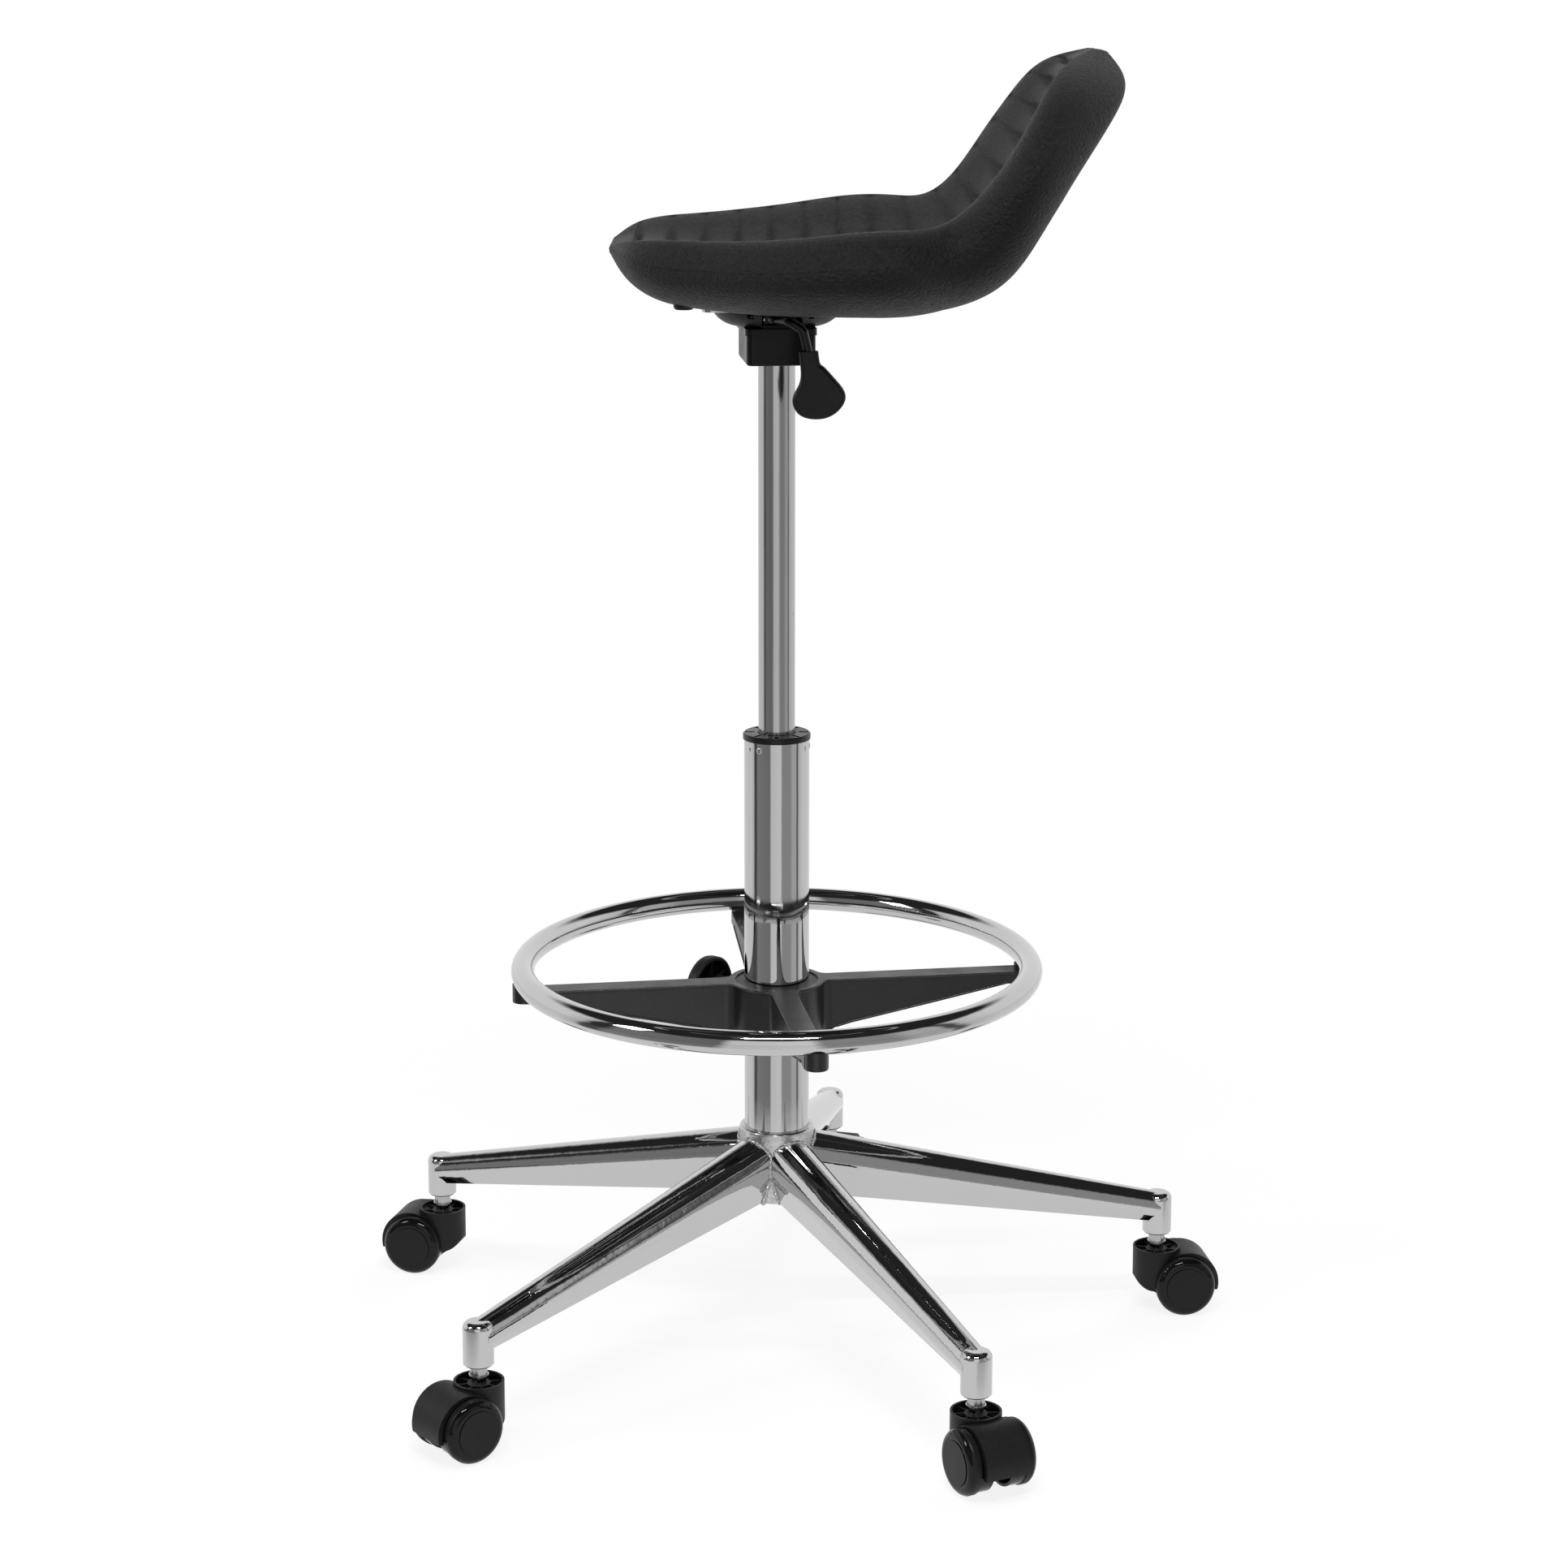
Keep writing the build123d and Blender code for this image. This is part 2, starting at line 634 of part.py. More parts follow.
pieces = {
    "base_hub": base_hub(),
    "caster_stems": Compound(children=[
        Rot(0, 0, angle) * Pos(socket_circle, 0, 0) * caster_stem() for angle in leg_angles
    ]),
    "column_tube": column_tube(),
    "column_bush": column_bush(),
    "thrust_bearing": thrust_bearing(),
    "piston_rod": piston_rod(),
    "rod_clip": rod_clip(),
    "gas_piston": gas_piston(),
    "gas_cylinder": gas_cylinder(),
    "cylinder_gland": cylinder_gland(),
    "release_pin": release_pin(),
    "taper_socket": taper_socket(),
    "seat_bracket": seat_bracket(),
    "seat_mount": seat_mount(),
    "seat_bolts": Compound(children=[Pos(x, y, 0) * seat_bolt() for x, y in bolt_places]),
    "seat_insert": seat_insert(),
    "dish_cover": dish_cover(),
    "lever_rod": lever_rod(),
    "lever_pivot": lever_pivot(),
    "lever_handle": lever_handle(),
    "footring_spider": footring_spider(),
    "foot_ring": foot_ring(),
    "ring_studs": Compound(children=[
        Rot(0, 0, spider_first_angle + 90 * turn) * ring_stud() for turn in range(4)
    ]),
    "guide_rings": guide_rings(),
    "clamp_pad": clamp_pad(),
    "clamp_stud": clamp_stud(),
    "clamp_knob": clamp_knob(),
    "seat_cushion": seat_cushion(),
}

leg = base_leg()
hood = caster_hood()
axle = caster_axle()
wheel = caster_wheel()
for index, (angle, heading) in enumerate(zip(leg_angles, caster_headings), 1):
    pieces[f"base_leg_{index}"] = Rot(0, 0, angle) * leg
    x = socket_circle * cos(radians(angle))
    y = socket_circle * sin(radians(angle))
    place = Pos(x, y, 0) * Rot(0, 0, heading)
    at_axle = place * Pos(caster_trail, 0, wheel_radius)
    pieces[f"caster_hood_{index}"] = place * hood
    pieces[f"caster_axle_{index}"] = at_axle * axle
    pieces[f"wheel_left_{index}"] = at_axle * wheel
    pieces[f"wheel_right_{index}"] = at_axle * Rot(0, 0, 180) * wheel

os.makedirs("parts", exist_ok=True)
for name, piece in pieces.items():
    export_step(piece, f"parts/{name}.step")
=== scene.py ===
import bpy
import json
import math
import numpy as np
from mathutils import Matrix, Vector


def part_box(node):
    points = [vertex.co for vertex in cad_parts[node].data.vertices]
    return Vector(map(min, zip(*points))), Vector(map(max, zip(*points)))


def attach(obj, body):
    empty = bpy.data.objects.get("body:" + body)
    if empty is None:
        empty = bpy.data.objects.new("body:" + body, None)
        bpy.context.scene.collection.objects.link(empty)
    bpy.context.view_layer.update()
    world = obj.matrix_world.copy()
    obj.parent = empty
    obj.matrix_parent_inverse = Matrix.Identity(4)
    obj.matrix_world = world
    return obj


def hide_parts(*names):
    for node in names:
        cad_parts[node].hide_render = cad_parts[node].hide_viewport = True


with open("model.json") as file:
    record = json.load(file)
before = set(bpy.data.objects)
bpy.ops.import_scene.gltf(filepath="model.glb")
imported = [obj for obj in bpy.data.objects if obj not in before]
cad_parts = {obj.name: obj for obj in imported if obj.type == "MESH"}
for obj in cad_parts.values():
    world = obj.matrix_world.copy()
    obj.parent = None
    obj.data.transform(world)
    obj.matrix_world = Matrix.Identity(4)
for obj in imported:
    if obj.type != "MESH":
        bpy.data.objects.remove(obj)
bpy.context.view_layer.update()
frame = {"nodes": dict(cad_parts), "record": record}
print("stage: frame loaded,", len(frame["nodes"]), "nodes")

scene = bpy.context.scene
scene.view_settings.view_transform = "Standard"
mm = 0.001


# camera, on the chair's left side

cameraSpec = {
    "distance": 2.6667,     # from the column axis, along +X
    "height": 1.0865,       # above the floor
    "down": 10.08,          # degrees below level
    "lens": 82.024,
    "shiftX": 0.00464,
    "shiftY": -0.14,
}


def makeCamera(spec):
    lens = bpy.data.cameras.new("camera")
    lens.sensor_width = 36
    lens.lens = spec["lens"]
    lens.shift_x = spec["shiftX"]
    lens.shift_y = spec["shiftY"]
    camera = bpy.data.objects.new("camera", lens)
    camera.location = (spec["distance"], 0, spec["height"])
    camera.rotation_euler = (math.radians(90 - spec["down"]), 0, math.radians(90))
    scene.collection.objects.link(camera)
    scene.camera = camera


makeCamera(cameraSpec)


# mesh helpers

def signedVolume(points, quads):
    # sum over the faces of the volume under each one, cut into two triangles
    a, b, c, d = (points[quads[:, k]] for k in range(4))
    return (np.cross(a, b) * c).sum() + (np.cross(a, c) * d).sum()


def meshObject(name, points, quads, body, smooth=True):
    # quads are turned round if they face inwards; a corner given twice makes a triangle
    points = np.asarray(points, float).reshape(-1, 3)
    quads = np.asarray(quads, int)
    if body and signedVolume(points, quads) < 0:
        quads = quads[:, ::-1]
    faces = [list(dict.fromkeys(face)) for face in quads.tolist()]
    mesh = bpy.data.meshes.new(name)
    mesh.from_pydata(points.tolist(), [], faces)
    mesh.polygons.foreach_set("use_smooth", np.full(len(mesh.polygons), smooth))
    mesh.update()
    piece = bpy.data.objects.new(name, mesh)
    scene.collection.objects.link(piece)
    if body:
        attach(piece, body)
    return piece


def gridQuads(rows, columns):
    # quads between neighbouring rows, the last column joined to the first
    r, c = np.meshgrid(np.arange(rows - 1), np.arange(columns), indexing="ij")
    n = (c + 1) % columns
    quads = np.stack([r * columns + c, r * columns + n, (r + 1) * columns + n, (r + 1) * columns + c], -1)
    return quads.reshape(-1, 4)


def shutGrid(grid):
    # a grid of rows that are closed rings, with a pole at the middle of the first and the last ring
    rows, columns = grid.shape[:2]
    poles = np.stack([grid[0].mean(0), grid[-1].mean(0)])
    points = np.concatenate([grid.reshape(-1, 3), poles])
    c = np.arange(columns)
    n = (c + 1) % columns
    first = rows * columns
    low = np.stack([np.full(columns, first), np.full(columns, first), n, c], -1)
    lastRow = (rows - 1) * columns
    high = np.stack([np.full(columns, first + 1), np.full(columns, first + 1), lastRow + c, lastRow + n], -1)
    return points, np.concatenate([gridQuads(rows, columns), low, high])


def tubeGrid(path, radius, up, sides=10):
    # a circle of the given radius carried along the path, square to it; both ends rounded off
    path = np.asarray(path, float)
    radius = np.broadcast_to(radius, len(path)).astype(float)
    along = np.gradient(path, axis=0)
    along /= np.linalg.norm(along, axis=1, keepdims=True)
    side = np.cross(along, up)
    side /= np.linalg.norm(side, axis=1, keepdims=True)
    top = np.cross(side, along)
    caps = np.radians([15, 40, 65])
    startPath = path[0] - along[0] * radius[0] * np.sin(caps[::-1])[:, None]
    endPath = path[-1] + along[-1] * radius[-1] * np.sin(caps)[:, None]
    centres = np.concatenate([startPath, path, endPath])
    radii = np.concatenate([radius[0] * np.cos(caps[::-1]), radius, radius[-1] * np.cos(caps)])
    extra = len(caps)
    side = np.concatenate([np.repeat(side[:1], extra, 0), side, np.repeat(side[-1:], extra, 0)])
    top = np.concatenate([np.repeat(top[:1], extra, 0), top, np.repeat(top[-1:], extra, 0)])
    turn = np.linspace(0, 2 * np.pi, sides, endpoint=False)
    ring = side[:, None] * np.cos(turn)[None, :, None] + top[:, None] * np.sin(turn)[None, :, None]
    return centres[:, None] + ring * radii[:, None, None]


def joinGrids(grids):
    # several shut grids as one list of points and quads
    points, quads, count = [], [], 0
    for grid in grids:
        these, faces = shutGrid(grid)
        if signedVolume(these, faces) < 0:
            faces = faces[:, ::-1]
        points.append(these)
        quads.append(faces + count)
        count += len(these)
    return np.concatenate(points), np.concatenate(quads)


def turnedAbout(points, degrees):
    # points turned about Z
    c, s = math.cos(math.radians(degrees)), math.sin(math.radians(degrees))
    return np.asarray(points) @ np.array([[c, s, 0], [-s, c, 0], [0, 0, 1]])


def smoothStep(value, low, high):
    share = np.clip((value - low) / (high - low), 0, 1)
    return share * share * (3 - 2 * share)


def splineMatrix(knots, query, loop=False):
    # rows that turn values at the knots into values of the smooth cubic curve through them;
    # the curve is closed if loop is true, with the last knot standing for the first again
    knots = np.asarray(knots, float)
    gaps = np.diff(knots)
    n = len(gaps) if loop else len(knots)
    slopes = np.zeros((n, n))
    right = np.zeros((n, n))
    for i in range(n):
        if not loop and i in (0, n - 1):
            slopes[i, i] = 1
            continue
        before, after = gaps[i - 1], gaps[i]
        left, here, ahead = (i - 1) % n, i, (i + 1) % n
        slopes[i, left] += before
        slopes[i, here] += 2 * (before + after)
        slopes[i, ahead] += after
        right[i, left] += 6 / before
        right[i, here] -= 6 / before + 6 / after
        right[i, ahead] += 6 / after
    bends = np.linalg.solve(slopes, right)
    cell = np.clip(np.searchsorted(knots, query, side="right") - 1, 0, len(gaps) - 1)
    gap = gaps[cell]
    b = (query - knots[cell]) / gap
    a = 1 - b
    unit = np.eye(n)
    after = (cell + 1) % n
    values = a[:, None] * unit[cell] + b[:, None] * unit[after]
    bentHere = ((a**3 - a) * gap**2 / 6)[:, None] * bends[cell]
    bentAfter = ((b**3 - b) * gap**2 / 6)[:, None] * bends[after]
    return values + (bentHere + bentAfter)


# shader helpers

def feed(tree, socket, value):
    # a link where the value is a socket, else a constant
    if isinstance(value, bpy.types.NodeSocket):
        tree.links.new(value, socket)
    else:
        socket.default_value = value


def addNode(tree, kind, settings=None, **values):
    node = tree.nodes.new(kind)
    for key, value in (settings or {}).items():
        setattr(node, key, value)
    for key, value in values.items():
        feed(tree, node.inputs[key], value)
    return node


def sums(tree, operation, *values, clamp=False):
    node = addNode(tree, "ShaderNodeMath", {"operation": operation, "use_clamp": clamp})
    for socket, value in zip(node.inputs, values):
        feed(tree, socket, value)
    return node.outputs[0]


def spread(tree, value, low, high, toLow=0.0, toHigh=1.0, smooth=False):
    node = addNode(tree, "ShaderNodeMapRange", {"interpolation_type": "SMOOTHSTEP" if smooth else "LINEAR"})
    for socket, item in zip(node.inputs, (value, low, high, toLow, toHigh)):
        feed(tree, socket, item)
    return node.outputs[0]


def noise(tree, vector, scale, detail=2.0):
    node = addNode(tree, "ShaderNodeTexNoise", Vector=vector, Scale=scale, Detail=detail)
    return node.outputs[0]


def greyMix(tree, share, first, second):
    # colour between two greys
    node = addNode(tree, "ShaderNodeMix", {"data_type": "RGBA"})
    feed(tree, node.inputs[0], share)
    node.inputs[6].default_value = (first, first, first, 1)
    node.inputs[7].default_value = (second, second, second, 1)
    return node.outputs[2]


def bump(tree, height, depth, strength=1.0):
    node = addNode(tree, "ShaderNodeBump", Height=height, Distance=depth, Strength=strength)
    return node.outputs[0]


def ramp(tree, value, stops):
    # the first stop is at 0 and the last at 1
    node = addNode(tree, "ShaderNodeValToRGB")
    feed(tree, node.inputs[0], value)
    bar = node.color_ramp
    ends = (bar.elements[0], bar.elements[1])
    for element, (place, level) in zip(ends, (stops[0], stops[-1])):
        element.position = place
        element.color = (level, level, level, 1)
    for place, level in stops[1:-1]:
        bar.elements.new(place).color = (level, level, level, 1)
    return node.outputs[0]


def newGroup(name, inputs, outputs):
    tree = bpy.data.node_groups.new(name, "ShaderNodeTree")
    for label, value in inputs.items():
        kind = "NodeSocketVector" if value is None else "NodeSocketFloat"
        socket = tree.interface.new_socket(label, in_out="INPUT", socket_type=kind)
        if value is not None:
            socket.default_value = value
    for label in outputs:
        tree.interface.new_socket(label, in_out="OUTPUT", socket_type="NodeSocketFloat")
    return tree, addNode(tree, "NodeGroupInput"), addNode(tree, "NodeGroupOutput")


def useGroup(tree, group, **values):
    node = addNode(tree, "ShaderNodeGroup", {"node_tree": group})
    for key, value in values.items():
        feed(tree, node.inputs[key], value)
    return node


def newMaterial(name, **constants):
    material = bpy.data.materials.new(name)
    material.use_nodes = True
    tree = material.node_tree
    bsdf = tree.nodes["Principled BSDF"]
    for key, value in constants.items():
        bsdf.inputs[key.replace("_", " ")].default_value = value
    return material, tree, bsdf


def objectPlace(tree):
    return addNode(tree, "ShaderNodeTexCoord").outputs["Object"]


# shader groups that several finishes share

def makePebbleGroup():
    # rounded cells of an embossed skin, with finer noise over them
    tree, given, put = newGroup("pebbleGrain", {"Vector": None, "Scale": 600.0}, ["Height", "Cell"])
    vector, scale = given.outputs["Vector"], given.outputs["Scale"]
    cells = addNode(tree, "ShaderNodeTexVoronoi", {"feature": "SMOOTH_F1"}, Vector=vector, Scale=scale)
    fine = noise(tree, vector, sums(tree, "MULTIPLY", scale, 2.3), 3.0)
    height = sums(tree, "SUBTRACT", fine, cells.outputs["Distance"])
    tree.links.new(height, put.inputs["Height"])
    tone = addNode(tree, "ShaderNodeTexVoronoi", Vector=vector, Scale=scale)
    tree.links.new(sums(tree, "MULTIPLY", tone.outputs["Color"], 1.0), put.inputs["Cell"])
    return tree


def makeMatteGroup():
    # fine spark-eroded texture of a mould, and slow patches in its gloss
    inputs = {"Vector": None, "Scale": 900.0, "Low": 0.4, "High": 0.55}
    tree, given, put = newGroup("mouldTexture", inputs, ["Height", "Roughness"])
    vector = given.outputs["Vector"]
    tree.links.new(noise(tree, vector, given.outputs["Scale"], 4.0), put.inputs["Height"])
    patches = noise(tree, vector, 35.0, 3.0)
    level = spread(tree, patches, 0.35, 0.65, given.outputs["Low"], given.outputs["High"])
    tree.links.new(level, put.inputs["Roughness"])
    return tree


def makePolishGroup():
    # slow waves of a buffed surface, and faint haze in its gloss
    inputs = {"Vector": None, "Waves": 45.0, "Low": 0.03, "High": 0.08}
    tree, given, put = newGroup("polishWaves", inputs, ["Height", "Roughness"])
    vector = given.outputs["Vector"]
    tree.links.new(noise(tree, vector, given.outputs["Waves"], 1.0), put.inputs["Height"])
    haze = noise(tree, vector, 60.0, 4.0)
    level = spread(tree, haze, 0.4, 0.7, given.outputs["Low"], given.outputs["High"])
    tree.links.new(level, put.inputs["Roughness"])
    return tree


def makeSpeckGroup():
    # scattered tiny dots, one in some of the cells
    inputs = {"Vector": None, "Scale": 120.0, "Size": 0.12, "Share": 0.2}
    tree, given, put = newGroup("scatteredSpecks", inputs, ["Mask"])
    vector, scale = given.outputs["Vector"], given.outputs["Scale"]
    cells = addNode(tree, "ShaderNodeTexVoronoi", Vector=vector, Scale=scale)
    near = sums(tree, "LESS_THAN", cells.outputs["Distance"], given.outputs["Size"])
    chance = sums(tree, "MULTIPLY", cells.outputs["Color"], 1.0)
    chosen = sums(tree, "LESS_THAN", chance, given.outputs["Share"])
    tree.links.new(sums(tree, "MULTIPLY", near, chosen), put.inputs["Mask"])
    return tree


# how light the studio is seen in polished parts, by the direction round the chair in degrees
# from +X; the room is dark above the walls
studioSpec = {
    "around": [
        (-180, 0.95), (-100, 0.95), (-88, 0.7), (-84, 0.04), (-76, 0.04), (-71, 0.26), (-24, 0.2),
        (-19, 0.85), (14, 0.95), (19, 0.36), (48, 0.36), (58, 0.6), (72, 0.6), (75, 0.1), (79, 0.1),
        (84, 0.75), (104, 0.95), (180, 0.95),
    ],
    "wallTop": (30, 42),        # degrees above level where the walls end
    "ceiling": 0.025,
    "strips": [(71, 0.8, 0.3), (-64, 1.0, 0.4)],
    "fill": 0.25,
    "nearFloor": (0.42, 0.62),  # the paper is plain white inside this radius
    "fadeFloor": (0.5, 1.15),   # and pure white beyond this one
    "paper": (0.4, 0.95),       # as the chair and as the camera see it
    "lift": 0.87,               # how far the paper glows by itself near the chair
    "mirrorShare": 0.85,        # and how far it does so in polished parts
}


def makeRoomGroup(spec):
    tree, given, put = newGroup("roomAround", {"X": 0.0, "Y": 0.0}, ["Level"])
    turn = sums(tree, "ARCTAN2", given.outputs["Y"], given.outputs["X"])
    share = spread(tree, turn, -math.pi, math.pi)
    level = ramp(tree, share, [((angle + 180) / 360, value) for angle, value in spec["around"]])
    tree.links.new(level, put.inputs["Level"])
    return tree


pebbleGrain = makePebbleGroup()
mouldTexture = makeMatteGroup()
polishWaves = makePolishGroup()
scatteredSpecks = makeSpeckGroup()
roomAround = makeRoomGroup(studioSpec)


# finishes, one function for each kind

def chromePlate(name, grey=0.56, low=0.025, high=0.07, waves=45.0, depth=0.00012):
    material, tree, bsdf = newMaterial(name, Metallic=1.0)
    place = objectPlace(tree)
    polish = useGroup(tree, polishWaves, Vector=place, Waves=waves, Low=low, High=high)
    specks = useGroup(tree, scatteredSpecks, Vector=place, Scale=70.0, Size=0.05, Share=0.15)
    feed(tree, bsdf.inputs["Base Color"], greyMix(tree, specks.outputs["Mask"], grey, grey * 0.45))
    feed(tree, bsdf.inputs["Roughness"], polish.outputs["Roughness"])
    feed(tree, bsdf.inputs["Normal"], bump(tree, polish.outputs["Height"], depth))
    return material


def weldedChrome(name, grain=700.0, depth=0.0006, grey=0.62):
    # plated over rough metal: lumps and pits that sparkle
    material, tree, bsdf = newMaterial(name, Metallic=1.0)
    place = objectPlace(tree)
    lumps = useGroup(tree, pebbleGrain, Vector=place, Scale=grain)
    feed(tree, bsdf.inputs["Base Color"], greyMix(tree, lumps.outputs["Cell"], grey, grey * 0.8))
    feed(tree, bsdf.inputs["Roughness"], spread(tree, lumps.outputs["Cell"], 0.0, 1.0, 0.08, 0.3))
    feed(tree, bsdf.inputs["Normal"], bump(tree, lumps.outputs["Height"], depth))
    return material


def groundSteel(name, grey=0.5):
    # ground lengthwise: fine lines along Z, faint specks of oil
    material, tree, bsdf = newMaterial(name, Metallic=1.0)
    place = objectPlace(tree)
    drawn = addNode(tree, "ShaderNodeMapping", Vector=place, Scale=(1, 1, 0.02))
    lines = noise(tree, drawn.outputs[0], 900.0, 2.0)
    specks = useGroup(tree, scatteredSpecks, Vector=place, Scale=160.0, Size=0.09, Share=0.06)
    feed(tree, bsdf.inputs["Base Color"], greyMix(tree, specks.outputs["Mask"], grey, 0.12))
    feed(tree, bsdf.inputs["Roughness"], spread(tree, lines, 0.3, 0.7, 0.13, 0.2))
    feed(tree, bsdf.inputs["Normal"], bump(tree, lines, 0.00001))
    return material


def blackPlastic(name, level=0.007, low=0.38, high=0.5, texture=900.0, depth=0.00008, shine=0.3):
    material, tree, bsdf = newMaterial(name, Specular_IOR_Level=shine)
    place = objectPlace(tree)
    matte = useGroup(tree, mouldTexture, Vector=place, Scale=texture, Low=low, High=high)
    shade = spread(tree, matte.outputs["Height"], 0.35, 0.65)
    feed(tree, bsdf.inputs["Base Color"], greyMix(tree, shade, level * 0.7, level * 1.3))
    feed(tree, bsdf.inputs["Roughness"], matte.outputs["Roughness"])
    feed(tree, bsdf.inputs["Normal"], bump(tree, matte.outputs["Height"], depth))
    return material


wheelFinish = {
    "disc": 16.4 * mm,      # matte middle
    "rim": 23.3 * mm,       # the glossy dome ends here
    "matte": 0.42,
    "gloss": 0.07,
    "level": 0.0045,
}


def wheelPlastic(name, centre, axis, spec):
    # matte disc, glossy domed ring and matte tread, by the distance from the axle's line
    material, tree, bsdf = newMaterial(name, Specular_IOR_Level=0.25)
    place = objectPlace(tree)
    turn = (0, 0, -math.atan2(axis[1], axis[0]))
    shifted = addNode(tree, "ShaderNodeVectorMath", {"operation": "SUBTRACT"})
    feed(tree, shifted.inputs[0], place)
    feed(tree, shifted.inputs[1], tuple(centre))
    turned = addNode(tree, "ShaderNodeMapping", Vector=shifted.outputs[0], Rotation=turn)
    parts = addNode(tree, "ShaderNodeSeparateXYZ", Vector=turned.outputs[0])
    ySquare = sums(tree, "POWER", parts.outputs["Y"], 2.0)
    zSquare = sums(tree, "POWER", parts.outputs["Z"], 2.0)
    radius = sums(tree, "SQRT", sums(tree, "ADD", ySquare, zSquare))
    outside = sums(tree, "GREATER_THAN", radius, spec["disc"])
    inside = sums(tree, "LESS_THAN", radius, spec["rim"])
    ring = sums(tree, "MULTIPLY", outside, inside)
    matte = useGroup(tree, mouldTexture, Vector=place, Scale=1100.0, Low=0.9, High=1.1)
    level = spread(tree, ring, 0.0, 1.0, spec["matte"], spec["gloss"])
    feed(tree, bsdf.inputs["Base Color"], greyMix(tree, ring, spec["level"] * 1.6, spec["level"]))
    feed(tree, bsdf.inputs["Roughness"], sums(tree, "MULTIPLY", level, matte.outputs["Roughness"]))
    grain = sums(tree, "MULTIPLY", matte.outputs["Height"], sums(tree, "SUBTRACT", 1.0, ring))
    feed(tree, bsdf.inputs["Normal"], bump(tree, grain, 0.00005))
    return material


seatFinish = {
    "bolster": 0.0075,
    # the panel's lighter level is partly its finer, duller skin and partly painted light, as if lit from
    # above
    "panel": 0.024,
    "groove": 0.75,         # painted shade: how far the grooves' colour is darkened at full depth
    "cells": 430.0,         # per metre
    "fineCells": 620.0,
    "cellDepth": 0.0014,
    "cellTone": (0.6, 1.4),     # from the darkest cell to the lightest
    "scratchFrom": 0.62,        # noise above this is a scratch
    "scratchLevel": 0.03,
    "roughLow": 0.44,
    "roughHigh": 0.58,
}


def seatFoam(name, spec):
    # self-skinned foam: pebbled bolsters and a finer panel; the panel's lighter colour is partly its duller
    # skin and partly painted light from above, and the grooves are darkened with painted shade
    material, tree, bsdf = newMaterial(name, Specular_IOR_Level=0.22)
    place = objectPlace(tree)
    panel = addNode(tree, "ShaderNodeAttribute", {"attribute_name": "panel"}).outputs["Fac"]
    groove = addNode(tree, "ShaderNodeAttribute", {"attribute_name": "groove"}).outputs["Fac"]
    scuff = addNode(tree, "ShaderNodeAttribute", {"attribute_name": "scuff"}).outputs["Fac"]
    coarse = useGroup(tree, pebbleGrain, Vector=place, Scale=spec["cells"])
    fine = useGroup(tree, pebbleGrain, Vector=place, Scale=spec["fineCells"])
    height = addNode(tree, "ShaderNodeMix", {"data_type": "FLOAT"})
    feed(tree, height.inputs[0], panel)
    feed(tree, height.inputs[2], coarse.outputs["Height"])
    feed(tree, height.inputs[3], fine.outputs["Height"])
    cell = coarse.outputs["Cell"]
    tone = spread(tree, cell, 0.0, 1.0, *spec["cellTone"])
    # partly painted light: the panel is made lighter than the bolsters, as where light falls from above
    base = spread(tree, panel, 0.0, 1.0, spec["bolster"], spec["panel"])
    # painted shade: the colour is darkened in the grooves, the more the deeper they are
    shadeInGrooves = spread(tree, groove, 0.0, 1.0, 1.0, spec["groove"])
    level = sums(tree, "MULTIPLY", sums(tree, "MULTIPLY", base, tone), shadeInGrooves)
    drawn = addNode(tree, "ShaderNodeMapping", Vector=place, Scale=(30, 1200, 1200))
    streaks = sums(tree, "GREATER_THAN", noise(tree, drawn.outputs[0], 1.0, 3.0), spec["scratchFrom"])
    scratch = sums(tree, "MULTIPLY", streaks, scuff)
    worn = sums(tree, "ADD", level, sums(tree, "MULTIPLY", scratch, spec["scratchLevel"]))
    colour = addNode(tree, "ShaderNodeCombineColor", Red=worn, Green=worn, Blue=worn)
    feed(tree, bsdf.inputs["Base Color"], colour.outputs[0])
    feed(tree, bsdf.inputs["Roughness"], spread(tree, cell, 0.0, 1.0, spec["roughLow"], spec["roughHigh"]))
    feed(tree, bsdf.inputs["Normal"], bump(tree, height.outputs[0], spec["cellDepth"]))
    return material


finishes = {
    "chromed_leg": chromePlate("chromed_leg"),
    "chromed_tube": chromePlate("chromed_tube", low=0.03, high=0.09),
    "ground_cylinder": groundSteel("ground_cylinder"),
    "inner_steel": groundSteel("inner_steel", 0.45),
    "bush_plastic": blackPlastic("bush_plastic", 0.007, 0.25, 0.35),
    "bracket_paint": blackPlastic("bracket_paint", 0.006, 0.3, 0.45, 500.0, 0.00006, 0.2),
    "dish_plastic": blackPlastic("dish_plastic", 0.007, 0.42, 0.55),
    "lever_paint": blackPlastic("lever_paint", 0.006, 0.22, 0.32, 400.0, 0.00004),
    "grip_plastic": blackPlastic("grip_plastic", 0.007, 0.40, 0.5, 1100.0, 0.0001),
    "spider_plastic": blackPlastic("spider_plastic", 0.009, 0.3, 0.4, 800.0, 0.00008, 0.6),
    "guide_plastic": blackPlastic("guide_plastic", 0.007, 0.35, 0.45),
    "seat_foam": seatFoam("seat_foam", seatFinish),
    "hood_plastic": blackPlastic("hood_plastic", 0.007, 0.42, 0.52, 1000.0, 0.00022),
    "wheel_plastic": blackPlastic("wheel_plastic", 0.005, 0.35, 0.45),
}
weldChrome = weldedChrome("welded_chrome")
hubChrome = weldedChrome("hub_chrome", 420.0, 0.00012, 0.62)

for part in frame["record"]["subparts"]:
    name = part["node"]
    node = frame["nodes"][name]
    finish = finishes[part["material_slot"]]
    if name == "base_hub":
        finish = hubChrome
    if name.startswith("wheel_"):
        low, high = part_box(name)
        index = name.split("_")[-1]
        left, right = (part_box(f"wheel_{side}_{index}") for side in ("left", "right"))
        span = (left[0] + left[1] - right[0] - right[1]) / 2
        finish = wheelPlastic("wheel_plastic_" + name, (low + high) / 2, span, wheelFinish)
    node.data.materials.clear()
    node.data.materials.append(finish)
print("stage: finishes on the rigid parts")


# seat: a bucket shell of foam with a dished panel of cross pads

